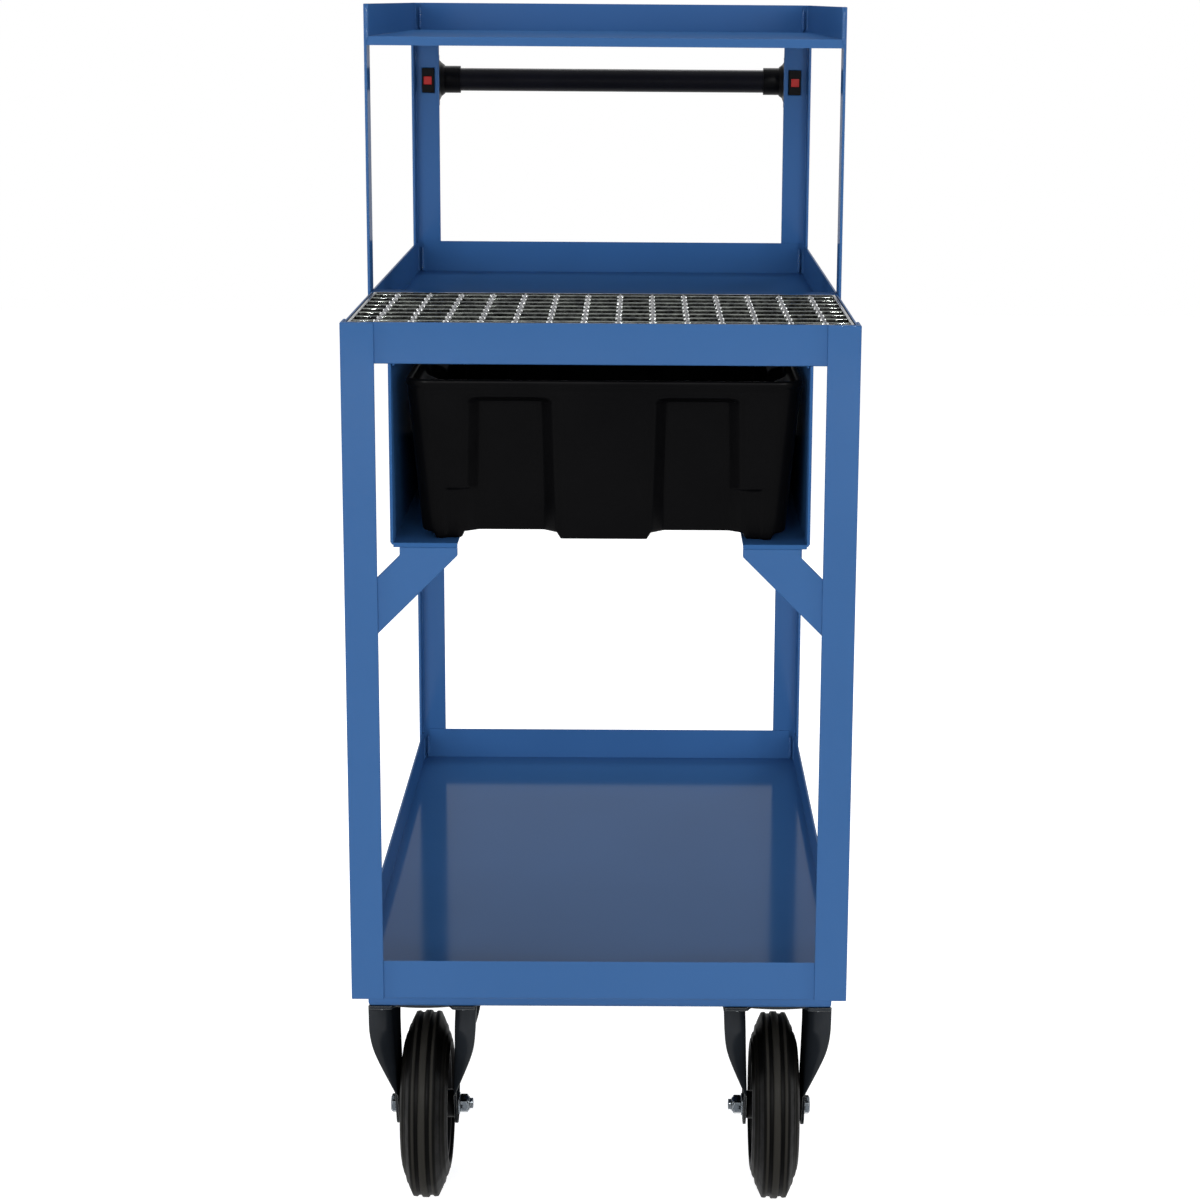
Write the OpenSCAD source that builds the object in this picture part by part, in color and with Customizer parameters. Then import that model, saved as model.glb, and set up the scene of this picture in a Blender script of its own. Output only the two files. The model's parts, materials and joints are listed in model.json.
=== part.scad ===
// Mobile dispensing station: a welded steel trolley with three shelf trays,
// a lift-off grating at its front end, a pull-out sump tray under the grating,
// a push handle at its rear end, two fixed casters and two braked swivel casters.
// Lengths in millimetres. X is across, -Y is the front (grating) end, Z is up.
// The origin is on the floor under the middle of the whole length, handle included.

/* [Frame] */
// Width over the corner posts
frame_w = 500; // [460:1:600]
// Length over the corner posts
frame_l = 900; // [860:1:1000]
// Height of the rear posts and of the upper shelf rim
top_h = 1250; // [1150:1:1350]
// Height of the grating and of the middle shelf rim
work_h = 953; // [930:1:990]
// Leg width of the angle steel posts
post_leg = 32.5; // [28:0.5:40]
// Steel thickness of posts and uprights
post_t = 3; // [2.5:0.5:4]

/* [Shelves] */
// Sheet thickness of shelves, rails and runners
sheet_t = 2; // [1.5:0.5:2.5]
// Height of the rims of the lower and middle shelf
rim_h = 40; // [36:1:50]
// Depth of the upper shelf, from its rim to its floor
upper_depth = 33; // [28:1:40]
// Height of the edge that the upper shelf folds down at its front
upper_lip = 9; // [7:1:14]
// Part of a side rim that is cut away at a post
notch_side = 18; // [12:1:24]
// Part of an end rim that is cut away at a post
notch_end = 8; // [5:1:12]

/* [Grating] */
// Length of the grating bay, from the front face to the cross rail
bay_l = 277.5; // [260:0.5:300]
// Width of the cross rail's top
cross_w = 25.5; // [20:0.5:32]
// Width of the inward flange that carries the grating
seat_w = 28; // [22:1:34]
// Play between the grating and its rails
grating_play = 1.5; // [1:0.5:3]
// Pitch of the grating mesh, both ways
mesh = 33.3; // [30:0.1:36]
// Thickness of the bearing bars
bar_t = 2.5; // [2:0.5:3]
// Thickness of the edge band
band_t = 3; // [2:0.5:4]
// Side of the square cross rods
rod = 4.5; // [4:0.5:6]

/* [Sump tray] */
// Width over the rim
tray_w = 390; // [380:1:394]
// Length over the rim
tray_l = 598; // [520:1:620]
// Height from feet to rim
tray_h = 158.5; // [140:0.5:170]
// Wall thickness
tray_t = 4; // [3:0.5:5]
// Overhang of the rolled rim beyond the wall
tray_rim = 4; // [3:0.5:8]
// Height of the rolled rim
tray_skirt = 8; // [6:1:15]
// How far the walls lean in from top to bottom
tray_lean = 12; // [8:1:18]
// Height of the moulded feet
foot_h = 6; // [4:1:12]
// Width of the middle foot
centre_foot_w = 87; // [60:1:100]
// Width of the outer feet
foot_w = 26; // [20:1:40]
// Depth of the recessed panels
panel_depth = 16; // [8:1:18]
// Width of the two panels in each end wall
end_panel_w = 58; // [40:1:64]
// Distance of those panels from the middle of the tray
end_panel_x = 92.5; // [80:0.5:100]
// Width of the three panels in each long wall
side_panel_w = 96; // [60:1:120]
// Height of the top edge of every panel above the feet
panel_top = 138; // [100:1:140]
// Height of the steps at the foot of the end walls
step_h = 49; // [30:1:80]

/* [Tray runners] */
// Play between the tray rim and each runner
tray_play = 4.2; // [3.5:0.1:6]
// How far off the middle the tray rests in that play
tray_shift = 3; // [0:0.5:3]
// Gap below the tray's feet
foot_gap = 0.3; // [0.2:0.1:0.5]
// Distance of the ledge that the tray slides on below the working height
ledge_drop = 215; // [205:1:235]
// Width of that ledge
ledge_w = 60; // [45:1:70]
// Flange along the front edge of a runner
runner_flange = 7; // [4:0.5:8]
// Depth of the lip at the front of a ledge
ledge_lip = 4.5; // [3.5:0.5:6]
// Length of the runners
runner_l = 612; // [600:1:640]
// Height of the upturned stop at the rear of a ledge
stop_h = 12; // [8:1:20]
// Width of the diagonal brace bars
brace_w = 40; // [30:1:45]
// Thickness of the brace bars
brace_t = 4; // [3:0.5:6]

/* [Handle] */
// Diameter of the handle tube
handle_d = 28.5; // [24:0.5:32]
// Wall of the handle tube
handle_t = 2; // [1.5:0.5:3]
// Distance of its axis below the top of the posts
handle_drop = 95.5; // [80:0.5:140]
// Distance of its axis behind the rear posts
handle_out = 45; // [38:1:60]
// Outer diameter of the end sockets
socket_d = 34; // [31:0.5:38]
// Length of a socket beyond its bracket
socket_l = 21; // [15:1:30]
// Diameter of the bracket's round end
collar_d = 42; // [38:1:48]
// Height of the bracket's foot on the post
foot_plate_h = 62; // [50:1:75]
// Width of the boss that passes through the post
boss_w = 14.5; // [12:0.5:17]
// Height of that boss
boss_h = 30; // [26:1:36]
// How far the boss stands out in front of the post
boss_out = 8; // [5:1:12]
// Side of the red locking cap
cap_w = 10; // [8:0.5:12]

/* [Casters] */
// Overall height of a caster
caster_h = 235; // [228:1:245]
// Wheel diameter
wheel_d = 198; // [190:1:200]
// Tyre width
tyre_w = 50; // [44:1:52]
// Diameter of the rim under the tyre
rim_d = 124; // [110:1:130]
// Distance of the casters from the centre plane
caster_x = 185; // [170:1:190]
// Distance of the caster plates' centres from the ends of the frame
caster_y = 136; // [125:1:150]
// Width of a caster plate
plate_w = 110; // [106:1:130]
// Length of a caster plate
plate_l = 140; // [134:1:150]
// Thickness of a caster plate
plate_t = 4; // [3:0.5:5]
// Spacing of the plate's bolts across the caster
bolt_x = 90; // [89:0.5:92]
// Spacing of the plate's bolts along the caster
bolt_y = 105; // [95:1:106]
// Gap between the fork legs at the axle
fork_gap = 59; // [56:1:62]
// How much further apart each leg of a fixed caster stands at its top
leg_splay = 4; // [0:0.5:6]
// Steel thickness of the forks
fork_t = 3; // [2.5:0.5:3]
// Width of a fork leg round the axle
leg_end = 42; // [32:1:46]
// Width of the flanges along the edges of a fixed caster's legs
fork_flange = 18.5; // [12:0.5:20]
// How far the ends of a fixed caster's plate bulge out between its legs
plate_bulge = 4; // [2:0.5:6]
// Diameter of the axle bolts
axle_d = 12; // [10:0.5:13]
// How far a swivel caster's axle trails its kingpin
trail = 54; // [45:1:60]
// Height of the beams that carry the casters
beam_h = 33; // [28:1:40]
// Length of those beams
beam_l = 480; // [450:1:490]
// Steel thickness of those beams
beam_t = 3; // [2.5:0.5:4]

/* [Brakes] */
// Distance of the brake pivot from the axle
brake_reach = 114; // [112:1:120]
// Angle of the brake pivot above the axle, seen from behind
brake_angle = 57; // [52:1:60]
// Gap between the released brake shoe and the tyre
brake_gap = 8; // [7:0.5:9]

/* [Fits] */
// Radial play of a shaft in its running hole
run_play = 0.05; // [0.03:0.01:0.1]
// Radial play of a fixed fastener in its hole
bolt_play = 0.5; // [0.3:0.1:0.8]
// Gap between faces that turn past each other
side_gap = 0.5; // [0.3:0.1:0.8]

/* [Hidden] */
$fn = 64;

// Colours of the finishes
blue = [0.22, 0.39, 0.62];
zinc = [0.62, 0.63, 0.64];
black = [0.08, 0.08, 0.08];
rubber = [0.2, 0.19, 0.18];
red = [0.65, 0.12, 0.12];

// Planes of the frame
front_y = -(frame_l + handle_out + collar_d / 2) / 2;
rear_y = front_y + frame_l;
side_x = frame_w / 2;
base_z = caster_h + beam_h;
inner_x = side_x - post_t;
inner_front = front_y + post_t;
inner_rear = rear_y - post_t;
cross_y = front_y + bay_l;
mid_front = cross_y + cross_w;
mid_z = work_h - rim_h;
upper_floor = top_h - upper_depth;
ledge_h = work_h - ledge_drop;
handle_h = top_h - handle_drop;
boss_x = side_x - (post_leg + post_t) / 2 - 1;
eps = 0.01;

// Grating
seat_z = mid_z + sheet_t;
grating_h = work_h - seat_z;
grating_w = 2 * (inner_x - sheet_t - grating_play);
grating_front = inner_front + sheet_t + grating_play;
grating_rear = cross_y - grating_play;
bar_count = 1 + floor((grating_rear - grating_front - 2 * band_t) / mesh);
rod_count = 2 * floor((grating_w / 2 - band_t + mesh / 2) / mesh);
bar_start = (grating_front + grating_rear - (bar_count - 1) * mesh) / 2;

// Sump tray
runner_x = tray_w / 2 + tray_play;
tray_front = inner_front + brace_t + 1;
tray_z = ledge_h + foot_gap;
ledge_inner = runner_x - ledge_w;
foot_x = ledge_inner + foot_w / 2;
tray_corner = 5 * tray_t;
wall_top = tray_h - tray_skirt;
wall_angle = atan(tray_lean / (wall_top - foot_h));
panel_chamfer = 0.6 * panel_depth;
step_t = tray_t;

// Casters
wheel_r = wheel_d / 2;
front_caster_y = front_y + caster_y;
rear_caster_y = rear_y - caster_y;
plate_z = caster_h - plate_t;
leg_x = fork_gap / 2;
hub_w = fork_gap - 2 * side_gap;
hub_d = 30;
bearing_d = 20;
nut_h = axle_d * 0.85;
head_h = axle_d * 0.6;
hex_d = axle_d * 1.8;
plate_bolt_d = 8;
plate_hex = 1.8 * plate_bolt_d;
pin_d = 8;
splay_angle = atan(leg_splay / (plate_z - wheel_r - leg_end / 2));

// Swivel head
race_r = 38;
race_h = 5;
head_top = plate_z - race_h - side_gap;
head_low = head_top - 12;
crown_t = 4;
pivot_y = trail + brake_reach * cos(brake_angle);
pivot_z = wheel_r + brake_reach * sin(brake_angle);

// An angle steel post with its corner at the origin and its legs along +X and +Y
module angle_post(height) {
  linear_extrude(height)
    difference() {
      square(post_leg);
      translate([post_t, post_t]) square(post_leg);
    }
}

// Children modelled on the left, kept there for side -1 and mirrored to the right for 1
module at_side(side) {
  if (side < 0) children();
  else mirror([1, 0, 0]) children();
}

// A rectangle with round corners, centred, made of exact arcs
module round_rect(w, l, r) {
  square([w - 2 * r, l], center = true);
  square([w, l - 2 * r], center = true);
  for (x = [-1, 1], y = [-1, 1])
    translate([x * (w / 2 - r), y * (l / 2 - r)]) circle(r);
}

// A hexagon head or nut, standing on z = 0
module hex_block(across, height, hole = 0) {
  difference() {
    cylinder(d = across, h = height, $fn = 6);
    if (hole > 0) translate([0, 0, -1]) cylinder(d = hole, h = height + 2);
  }
}

module front_post(side) {
  color(blue) at_side(side)
    translate([-side_x, front_y, base_z]) angle_post(work_h - base_z);
}

// A rear post with the cut-out that the handle bracket's boss passes through
module rear_post(side) {
  color(blue) at_side(side) difference() {
    translate([-side_x, rear_y, base_z]) mirror([0, 1, 0]) angle_post(top_h - base_z);
    translate([-boss_x, rear_y, handle_h])
      cube([boss_w + 1, 4 * post_t, boss_h + 1], center = true);
  }
}

module upright(side) {
  color(blue) at_side(side)
    translate([-side_x, cross_y, mid_z]) cube([post_t, post_leg, top_h - mid_z]);
}

// Front rail of the grating bay, an angle with its flange inward
module rail_front() {
  color(blue) {
    translate([-inner_x, inner_front, mid_z]) cube([2 * inner_x, sheet_t, rim_h]);
    translate([-inner_x, inner_front + sheet_t, mid_z])
      cube([2 * inner_x, seat_w, sheet_t]);
  }
}

module rail_side(side) {
  web_start = inner_front + sheet_t;
  flange_start = web_start + seat_w;
  color(blue) at_side(side) {
    translate([-inner_x, web_start, seat_z])
      cube([sheet_t, cross_y - web_start, work_h - seat_z]);
    translate([-inner_x, flange_start, mid_z])
      cube([sheet_t + seat_w, cross_y - seat_w - flange_start, sheet_t]);
  }
}

// Cross rail between the grating and the middle shelf, a Z section
module rail_cross() {
  color(blue) {
    translate([-inner_x, cross_y, mid_z]) cube([2 * inner_x, sheet_t, rim_h]);
    translate([-inner_x, cross_y + sheet_t, work_h - sheet_t])
      cube([2 * inner_x, cross_w - sheet_t, sheet_t]);
    translate([-inner_x, cross_y - seat_w, mid_z])
      cube([2 * inner_x, seat_w, sheet_t]);
  }
}

// A shelf tray between y0 and y1 with its floor at the bottom, its rims rising from it,
// and a notch at each corner where it is welded to a post
module shelf_tray(y0, y1, rim, front_rim, front_notch_side, front_notch_end) {
  length = y1 - y0;
  translate([-inner_x, y0, 0]) cube([2 * inner_x, length, sheet_t]);
  for (side = [-1, 1])
    at_side(side) translate([-inner_x, y0 + front_notch_side, 0])
      cube([sheet_t, length - front_notch_side - notch_side, rim]);
  translate([-inner_x + notch_end, y1 - sheet_t, 0])
    cube([2 * (inner_x - notch_end), sheet_t, rim]);
  if (front_rim > 0)
    translate([-inner_x + front_notch_end, y0, 0])
      cube([2 * (inner_x - front_notch_end), sheet_t, front_rim]);
}

module shelf_lower() {
  color(blue) translate([0, 0, base_z])
    shelf_tray(inner_front, inner_rear, rim_h, rim_h, notch_side, notch_end);
}

module shelf_middle() {
  color(blue) translate([0, 0, mid_z])
    shelf_tray(mid_front - sheet_t, inner_rear, rim_h, rim_h - sheet_t, sheet_t, 0);
}

module shelf_upper() {
  color(blue) {
    translate([0, 0, upper_floor - sheet_t])
      shelf_tray(cross_y, inner_rear, upper_depth + sheet_t, 0, 0, 0);
    translate([-inner_x, cross_y, upper_floor - upper_lip])
      cube([2 * inner_x, sheet_t, upper_lip]);
  }
}

// A hanging sheet with the ledge that the sump tray slides on
module runner(side) {
  color(blue) at_side(side) {
    translate([-runner_x - sheet_t, inner_front, ledge_h - sheet_t])
      cube([sheet_t, runner_l, mid_z - ledge_h + sheet_t]);
    translate([-runner_x, inner_front, ledge_h - sheet_t])
      cube([ledge_w, runner_l, sheet_t]);
    translate([-runner_x - runner_flange, inner_front, ledge_h])
      cube([runner_flange - sheet_t, sheet_t, mid_z - ledge_h]);
    translate([-runner_x, inner_front, ledge_h - ledge_lip])
      cube([ledge_w, sheet_t, ledge_lip]);
    translate([-runner_x, inner_front + runner_l - sheet_t, ledge_h])
      cube([ledge_w, sheet_t, stop_h]);
  }
}

// A flat bar at 45 degrees from the front end of a ledge to the post
module brace(side) {
  top = ledge_h - ledge_lip;
  right = -ledge_inner;
  edge = 8;
  across = brace_w * sqrt(2);
  left = -inner_x;
  color(blue) at_side(side)
    translate([0, inner_front + brace_t, 0]) rotate([90, 0, 0]) linear_extrude(brace_t)
      polygon([
        [right, top],
        [right, top - edge],
        [left, top - edge - (right - left)],
        [left, top - edge - (right - left) + across],
        [right - across, top - edge],
        [right - across, top]
      ]);
}

// A channel under the frame, open at the top, that the casters are bolted to
module beam(y) {
  color(blue) translate([0, y, caster_h]) difference() {
    translate([-beam_l / 2, -plate_l / 2, 0]) cube([beam_l, plate_l, beam_h]);
    translate([-beam_l / 2 - 1, -plate_l / 2 + beam_t, beam_t])
      cube([beam_l + 2, plate_l - 2 * beam_t, beam_h]);
    for (side = [-1, 1])
      translate([side * caster_x, 0, -plate_t]) plate_holes(beam_t + plate_t);
  }
}

// The four bolt holes of a caster plate, starting below z = 0
module plate_holes(depth) {
  for (x = [-1, 1], y = [-1, 1])
    translate([x * bolt_x / 2, y * bolt_y / 2, -1])
      cylinder(d = plate_bolt_d + 2 * bolt_play, h = depth + 2);
}

// Children at each of the sixteen caster bolts, with z = 0 at the underside of the plates
module at_plate_bolts() {
  for (side = [-1, 1], y = [front_caster_y, rear_caster_y], a = [-1, 1], b = [-1, 1])
    translate([side * caster_x + a * bolt_x / 2, y + b * bolt_y / 2, plate_z]) children();
}

module caster_bolts() {
  head = 0.65 * plate_bolt_d;
  color(zinc) at_plate_bolts() {
    translate([0, 0, -head]) cylinder(d = plate_hex, h = head, $fn = 6);
    cylinder(d = plate_bolt_d, h = plate_t + beam_t + 1.2 * plate_bolt_d);
  }
}

module caster_nuts() {
  color(zinc) at_plate_bolts()
    translate([0, 0, plate_t + beam_t])
      hex_block(plate_hex, 0.8 * plate_bolt_d, plate_bolt_d + 2 * run_play);
}

// Edge band of the grating
module grating_band() {
  color(zinc) difference() {
    translate([-grating_w / 2, grating_front, seat_z])
      cube([grating_w, grating_rear - grating_front, grating_h]);
    translate([-grating_w / 2 + band_t, grating_front + band_t, seat_z - 1])
      cube([grating_w - 2 * band_t, grating_rear - grating_front - 2 * band_t, grating_h + 2]);
  }
}

// The square rods, flush with the top of the bars; a larger size cuts their slots
module rod_shapes(extra = 0) {
  for (i = [0 : rod_count - 1])
    translate([(i - (rod_count - 1) / 2) * mesh - rod / 2, grating_front + band_t, work_h - rod])
      cube([rod, grating_rear - grating_front - 2 * band_t, rod + extra]);
}

// Bearing bars across the grating, slotted for the rods
module grating_bars() {
  color(zinc) difference() {
    for (i = [0 : bar_count - 1])
      translate([-grating_w / 2 + band_t, bar_start + i * mesh - bar_t / 2, seat_z])
        cube([grating_w - 2 * band_t, bar_t, grating_h]);
    rod_shapes(1);
  }
}

module grating_rods() {
  color(zinc) rod_shapes();
}

// The tapered body of the sump tray, inset on all sides, from z0 to z1
module tray_body(inset, z0, z1) {
  lean0 = tray_lean * (wall_top - z0) / (wall_top - foot_h);
  lean1 = tray_lean * (wall_top - min(z1, wall_top)) / (wall_top - foot_h);
  hull() {
    for (level = [[z0, lean0], [z1 - eps, lean1]])
      translate([0, 0, level[0]]) linear_extrude(eps)
        round_rect(
          tray_w - 2 * (tray_rim + inset + level[1]),
          tray_l - 2 * (tray_rim + inset + level[1]),
          tray_corner - inset / 2,
          $fn = 32
        );
  }
}

// A recessed panel that leans with its wall. The wall's top edge is at y = 0, and the panel
// opens towards -Y. A grown copy is kept clear of the inside.
module tray_panel(width, grow = 0) {
  half = width / 2 + grow;
  depth = panel_depth + grow;
  height = panel_top + tray_corner + grow;
  translate([0, 0, wall_top]) rotate([wall_angle, 0, 0])
    translate([0, 0, panel_top + grow - wall_top - height]) linear_extrude(height)
      polygon([
        [-half - panel_chamfer, -tray_corner],
        [-half - panel_chamfer, -1],
        [-half, depth],
        [half, depth],
        [half + panel_chamfer, -1],
        [half + panel_chamfer, -tray_corner]
      ]);
}

// A shallow step at the foot of each end wall's outer pillars
module pillar_step() {
  translate([foot_x - foot_w / 2, 0, wall_top]) rotate([wall_angle, 0, 0])
    translate([0, -tray_corner, -wall_top - tray_corner])
      cube([foot_w, tray_corner + step_t, step_h + tray_corner]);
}

// All the recesses: two panels and two steps at each end, and three panels along each side
module tray_panels(grow = 0) {
  end_wall = tray_l / 2 - tray_rim;
  side_wall = tray_w / 2 - tray_rim;
  pitch = tray_l / 3.4;
  for (end = [0, 180], x = [-1, 1])
    rotate(end) translate([x * end_panel_x, -end_wall, 0]) tray_panel(end_panel_w, grow);
  for (side = [90, -90], i = [-1 : 1])
    rotate(side) translate([i * pitch, -side_wall, 0]) tray_panel(side_panel_w, grow);
  for (end = [0, 180], side = [0, 1])
    rotate(end) translate([0, -end_wall, 0]) mirror([side, 0, 0]) pillar_step();
}

// Three moulded feet along the tray, with sloping flanks
module tray_feet() {
  length = tray_l - 2 * (tray_rim + tray_lean) - tray_t;
  flank = foot_h / 3;
  for (foot = [[-foot_x, foot_w], [0, centre_foot_w], [foot_x, foot_w]])
    translate([foot[0], length / 2, 0]) rotate([90, 0, 0]) linear_extrude(length)
      polygon([
        [-foot[1] / 2, 0],
        [foot[1] / 2, 0],
        [foot[1] / 2 + flank, foot_h + 1],
        [-foot[1] / 2 - flank, foot_h + 1]
      ]);
}

// The rolled rim round the top edge
module tray_rim_band() {
  translate([0, 0, tray_h - tray_skirt]) linear_extrude(tray_skirt)
    round_rect(tray_w, tray_l, tray_corner + tray_rim);
}

module sump_tray() {
  color(black) translate([tray_shift, tray_front + tray_l / 2, tray_z]) difference() {
    union() {
      difference() {
        tray_body(0, foot_h, tray_h);
        tray_panels();
      }
      difference() {
        tray_feet();
        tray_panels();
      }
      tray_rim_band();
    }
    difference() {
      tray_body(tray_t, foot_h + tray_t, tray_h + 1);
      tray_panels(tray_t);
    }
  }
}

module handle_tube() {
  length = 2 * (side_x - post_leg - 1);
  color(black) translate([0, rear_y + handle_out, handle_h]) rotate([0, 90, 0])
    difference() {
      cylinder(d = handle_d, h = length, center = true);
      cylinder(d = handle_d - 2 * handle_t, h = length + 2, center = true);
    }
}

// A bracket behind a rear post: a foot on the post, a web that tapers to the round end,
// a socket for the tube, and a boss through the post
module handle_bracket(side) {
  inner_end = -side_x + post_leg;
  web = post_leg - post_t;
  color(black) at_side(side) {
    translate([inner_end - web, rear_y, handle_h]) rotate([90, 0, 90])
      linear_extrude(web) {
        translate([0, -foot_plate_h / 2]) square([6, foot_plate_h]);
        polygon([
          [6, -foot_plate_h / 2 + 6],
          [handle_out, -collar_d / 2],
          [handle_out, collar_d / 2],
          [6, foot_plate_h / 2 - 6]
        ]);
        translate([handle_out, 0]) circle(d = collar_d);
      }
    translate([inner_end, rear_y + handle_out, handle_h]) rotate([0, 90, 0]) difference() {
      union() {
        cylinder(d1 = collar_d, d2 = socket_d + 2, h = 4);
        cylinder(d = socket_d, h = socket_l + 3);
      }
      translate([0, 0, 1 - run_play]) cylinder(d = handle_d + 2 * run_play, h = socket_l + 3);
    }
    translate([-boss_x, rear_y - post_t - boss_out / 2, handle_h])
      cube([boss_w, boss_out, boss_h], center = true);
    translate([-boss_x, rear_y - post_t / 2, handle_h])
      cube([boss_w, post_t + eps, boss_h], center = true);
  }
}

module locking_caps() {
  cap_t = 2;
  color(red) for (side = [-1, 1])
    translate([side * boss_x, rear_y - post_t - boss_out - cap_t / 2, handle_h])
      cube([cap_w, cap_t, cap_w], center = true);
}

// Children turned so that +Z becomes +X, at the height of the axles
module on_axle() {
  translate([0, 0, wheel_r]) rotate([0, 90, 0]) children();
}

// Side view of a fixed housing's leg, as y from the axle and height above it: half its width
// at the top, and the height of the shoulder from which its edges run straight to the round end
leg_top = plate_l / 2 - 6;
leg_rise = plate_z - 25 - wheel_r;
leg_reach = norm([leg_top, leg_rise]);
leg_tangent = atan2(leg_rise, leg_top) - acos(leg_end / 2 / leg_reach);
leg_edge = sqrt(leg_reach ^ 2 - (leg_end / 2) ^ 2);
leg_high = plate_z - wheel_r + 1;
leg_knee = leg_end / 2 + 4;

// Outline of a fixed housing's leg between two heights, seen along X: y across and z up from
// the axle
module housing_leg(low, high) {
  touch = leg_end / 2 * [cos(leg_tangent), sin(leg_tangent)];
  intersection() {
    difference() {
      union() {
        circle(d = leg_end);
        polygon([
          [-leg_top, leg_high],
          [-leg_top, leg_rise],
          [-touch[0], touch[1]],
          touch,
          [leg_top, leg_rise],
          [leg_top, leg_high]
        ]);
      }
      circle(d = axle_d + 2 * run_play);
    }
    translate([-leg_top, low]) square([2 * leg_top, high - low]);
  }
}

// Share of its full width that a flange keeps at u, from 0 at the shoulder to 1 at its tip:
// it holds its width at first and then runs out along a straight slope
function ramp(u) = (u - 0.3 + sqrt((u - 0.3) ^ 2 + 0.04)) / 2;
function flange_share(u) = 1 - (ramp(u) - ramp(0)) / (ramp(1) - ramp(0));

// The outward flange along one edge of a leg: upright at the top, then leaning with the
// edge and running out towards the axle
module housing_flange() {
  length = 0.68 * leg_edge;
  flange_x = leg_x + fork_t;
  steps = 14;
  slope = 90 - atan2(leg_rise - leg_end / 2 * sin(leg_tangent),
    leg_top - leg_end / 2 * cos(leg_tangent));
  translate([flange_x, -leg_top, leg_rise])
    cube([fork_flange, fork_t, leg_high - leg_rise]);
  translate([flange_x, -leg_top, leg_rise]) rotate([slope, 0, 0]) mirror([0, 0, 1])
    translate([0, fork_t, 0]) rotate([90, 0, 0]) linear_extrude(fork_t)
      polygon(concat(
        [[0, 0]],
        [for (i = [0 : steps - 1]) [fork_flange * flange_share(i / steps), length * i / steps]],
        [[0, length]]
      ));
}

// Outline of a fixed caster's plate, with both ends bulging out between the legs
module plate_outline() {
  bulge_r = (leg_x ^ 2 + plate_bulge ^ 2) / (2 * plate_bulge);
  square([plate_w, plate_l], center = true);
  for (end = [-1, 1]) intersection() {
    translate([0, end * (plate_l / 2 + plate_bulge - bulge_r)]) circle(bulge_r, $fn = 128);
    translate([0, end * plate_l / 2]) square([2 * leg_x, 4 * plate_bulge], center = true);
  }
}

// One leg of a fixed housing: upright round the axle, leaning out above its knee
module splayed_leg() {
  translate([leg_x, 0, wheel_r]) rotate([90, 0, 90]) linear_extrude(fork_t)
    housing_leg(-leg_end / 2, leg_knee);
  translate([leg_x, 0, wheel_r + leg_knee]) rotate([0, splay_angle, 0])
    translate([-leg_x, 0, -leg_knee]) {
      translate([leg_x, 0, 0]) rotate([90, 0, 90]) linear_extrude(fork_t)
        housing_leg(leg_knee, leg_high);
      for (y = [0, 1]) mirror([0, y, 0]) housing_flange();
    }
}

// The pressed housing of a fixed caster
module housing(side) {
  color(zinc) translate([side * caster_x, front_caster_y, 0]) {
    difference() {
      translate([0, 0, plate_z]) linear_extrude(plate_t) plate_outline();
      translate([0, 0, plate_z]) plate_holes(plate_t);
    }
    for (x = [0, 1]) mirror([x, 0, 0]) splayed_leg();
  }
}

// An axle bolt along X with its head on the outer side of a left caster
module axle_bolt() {
  grip = fork_gap + 2 * fork_t;
  on_axle() translate([0, 0, -grip / 2]) {
    cylinder(d = axle_d, h = grip + nut_h + 4);
    translate([0, 0, -head_h]) cylinder(d = hex_d, h = head_h, $fn = 6);
  }
}

module axle_nut() {
  washer = nut_h / 5;
  on_axle() translate([0, 0, fork_gap / 2 + fork_t]) {
    difference() {
      cylinder(d = 2 * axle_d, h = washer);
      translate([0, 0, -1]) cylinder(d = axle_d + 2 * run_play, h = washer + 2);
    }
    translate([0, 0, washer]) hex_block(hex_d, nut_h - washer, axle_d + 2 * run_play);
  }
}

// Children at both front casters, with the nut on the inner side
module at_front_casters() {
  for (side = [-1, 1])
    at_side(side) translate([-caster_x, front_caster_y, 0]) children();
}

module front_axle_bolts() {
  color(zinc) at_front_casters() axle_bolt();
}

module front_axle_nuts() {
  color(zinc) at_front_casters() axle_nut();
}

// Half section of the tyre: radius, then half width. The crown has three raised ribs and
// the shoulders step out to the full width.
function tyre_half(r, w) = [
  [rim_d / 2, 0.44 * w],
  [rim_d / 2 + 2, 0.5 * w],
  [rim_d / 2 + 9, 0.47 * w],
  [r - 23.5, 0.455 * w],
  [r - 21.5, 0.4 * w],
  [r - 14, 0.37 * w],
  [r - 1.5, 0.27 * w],
  [r - 1, 0.25 * w],
  [r - 1, 0.16 * w],
  [r - 2, 0.145 * w],
  [r - 2, 0.08 * w],
  [r, 0.065 * w]
];

module wheel_tyre() {
  half = tyre_half(wheel_r, tyre_w);
  count = len(half);
  mirrored = [for (i = [count - 1 : -1 : 0]) [half[i][0], -half[i][1]]];
  on_axle() rotate_extrude($fn = 96) polygon(concat(half, mirrored));
}

// Rim: a seat for the tyre, two dished flanks and a hub that spans the fork
module wheel_rim() {
  seat = rim_d / 2;
  hub = hub_d / 2;
  bore = bearing_d / 2;
  half_seat = 0.43 * tyre_w;
  on_axle() rotate_extrude($fn = 96) polygon([
    [bore, -hub_w / 2],
    [hub, -hub_w / 2],
    [hub + 1, -10],
    [seat - 12, -6],
    [seat - 6, -half_seat],
    [seat, -half_seat],
    [seat, half_seat],
    [seat - 6, half_seat],
    [seat - 12, 6],
    [hub + 1, 10],
    [hub, hub_w / 2],
    [bore, hub_w / 2]
  ]);
}

// Roller bearing cage between the hub and the axle bolt
module wheel_bearing() {
  on_axle() difference() {
    cylinder(d = bearing_d - 2 * run_play, h = hub_w - 2, center = true);
    cylinder(d = axle_d + 2 * run_play, h = hub_w, center = true);
  }
}

module at_front_wheel(side) {
  translate([side * caster_x, front_caster_y, 0]) children();
}

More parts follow.
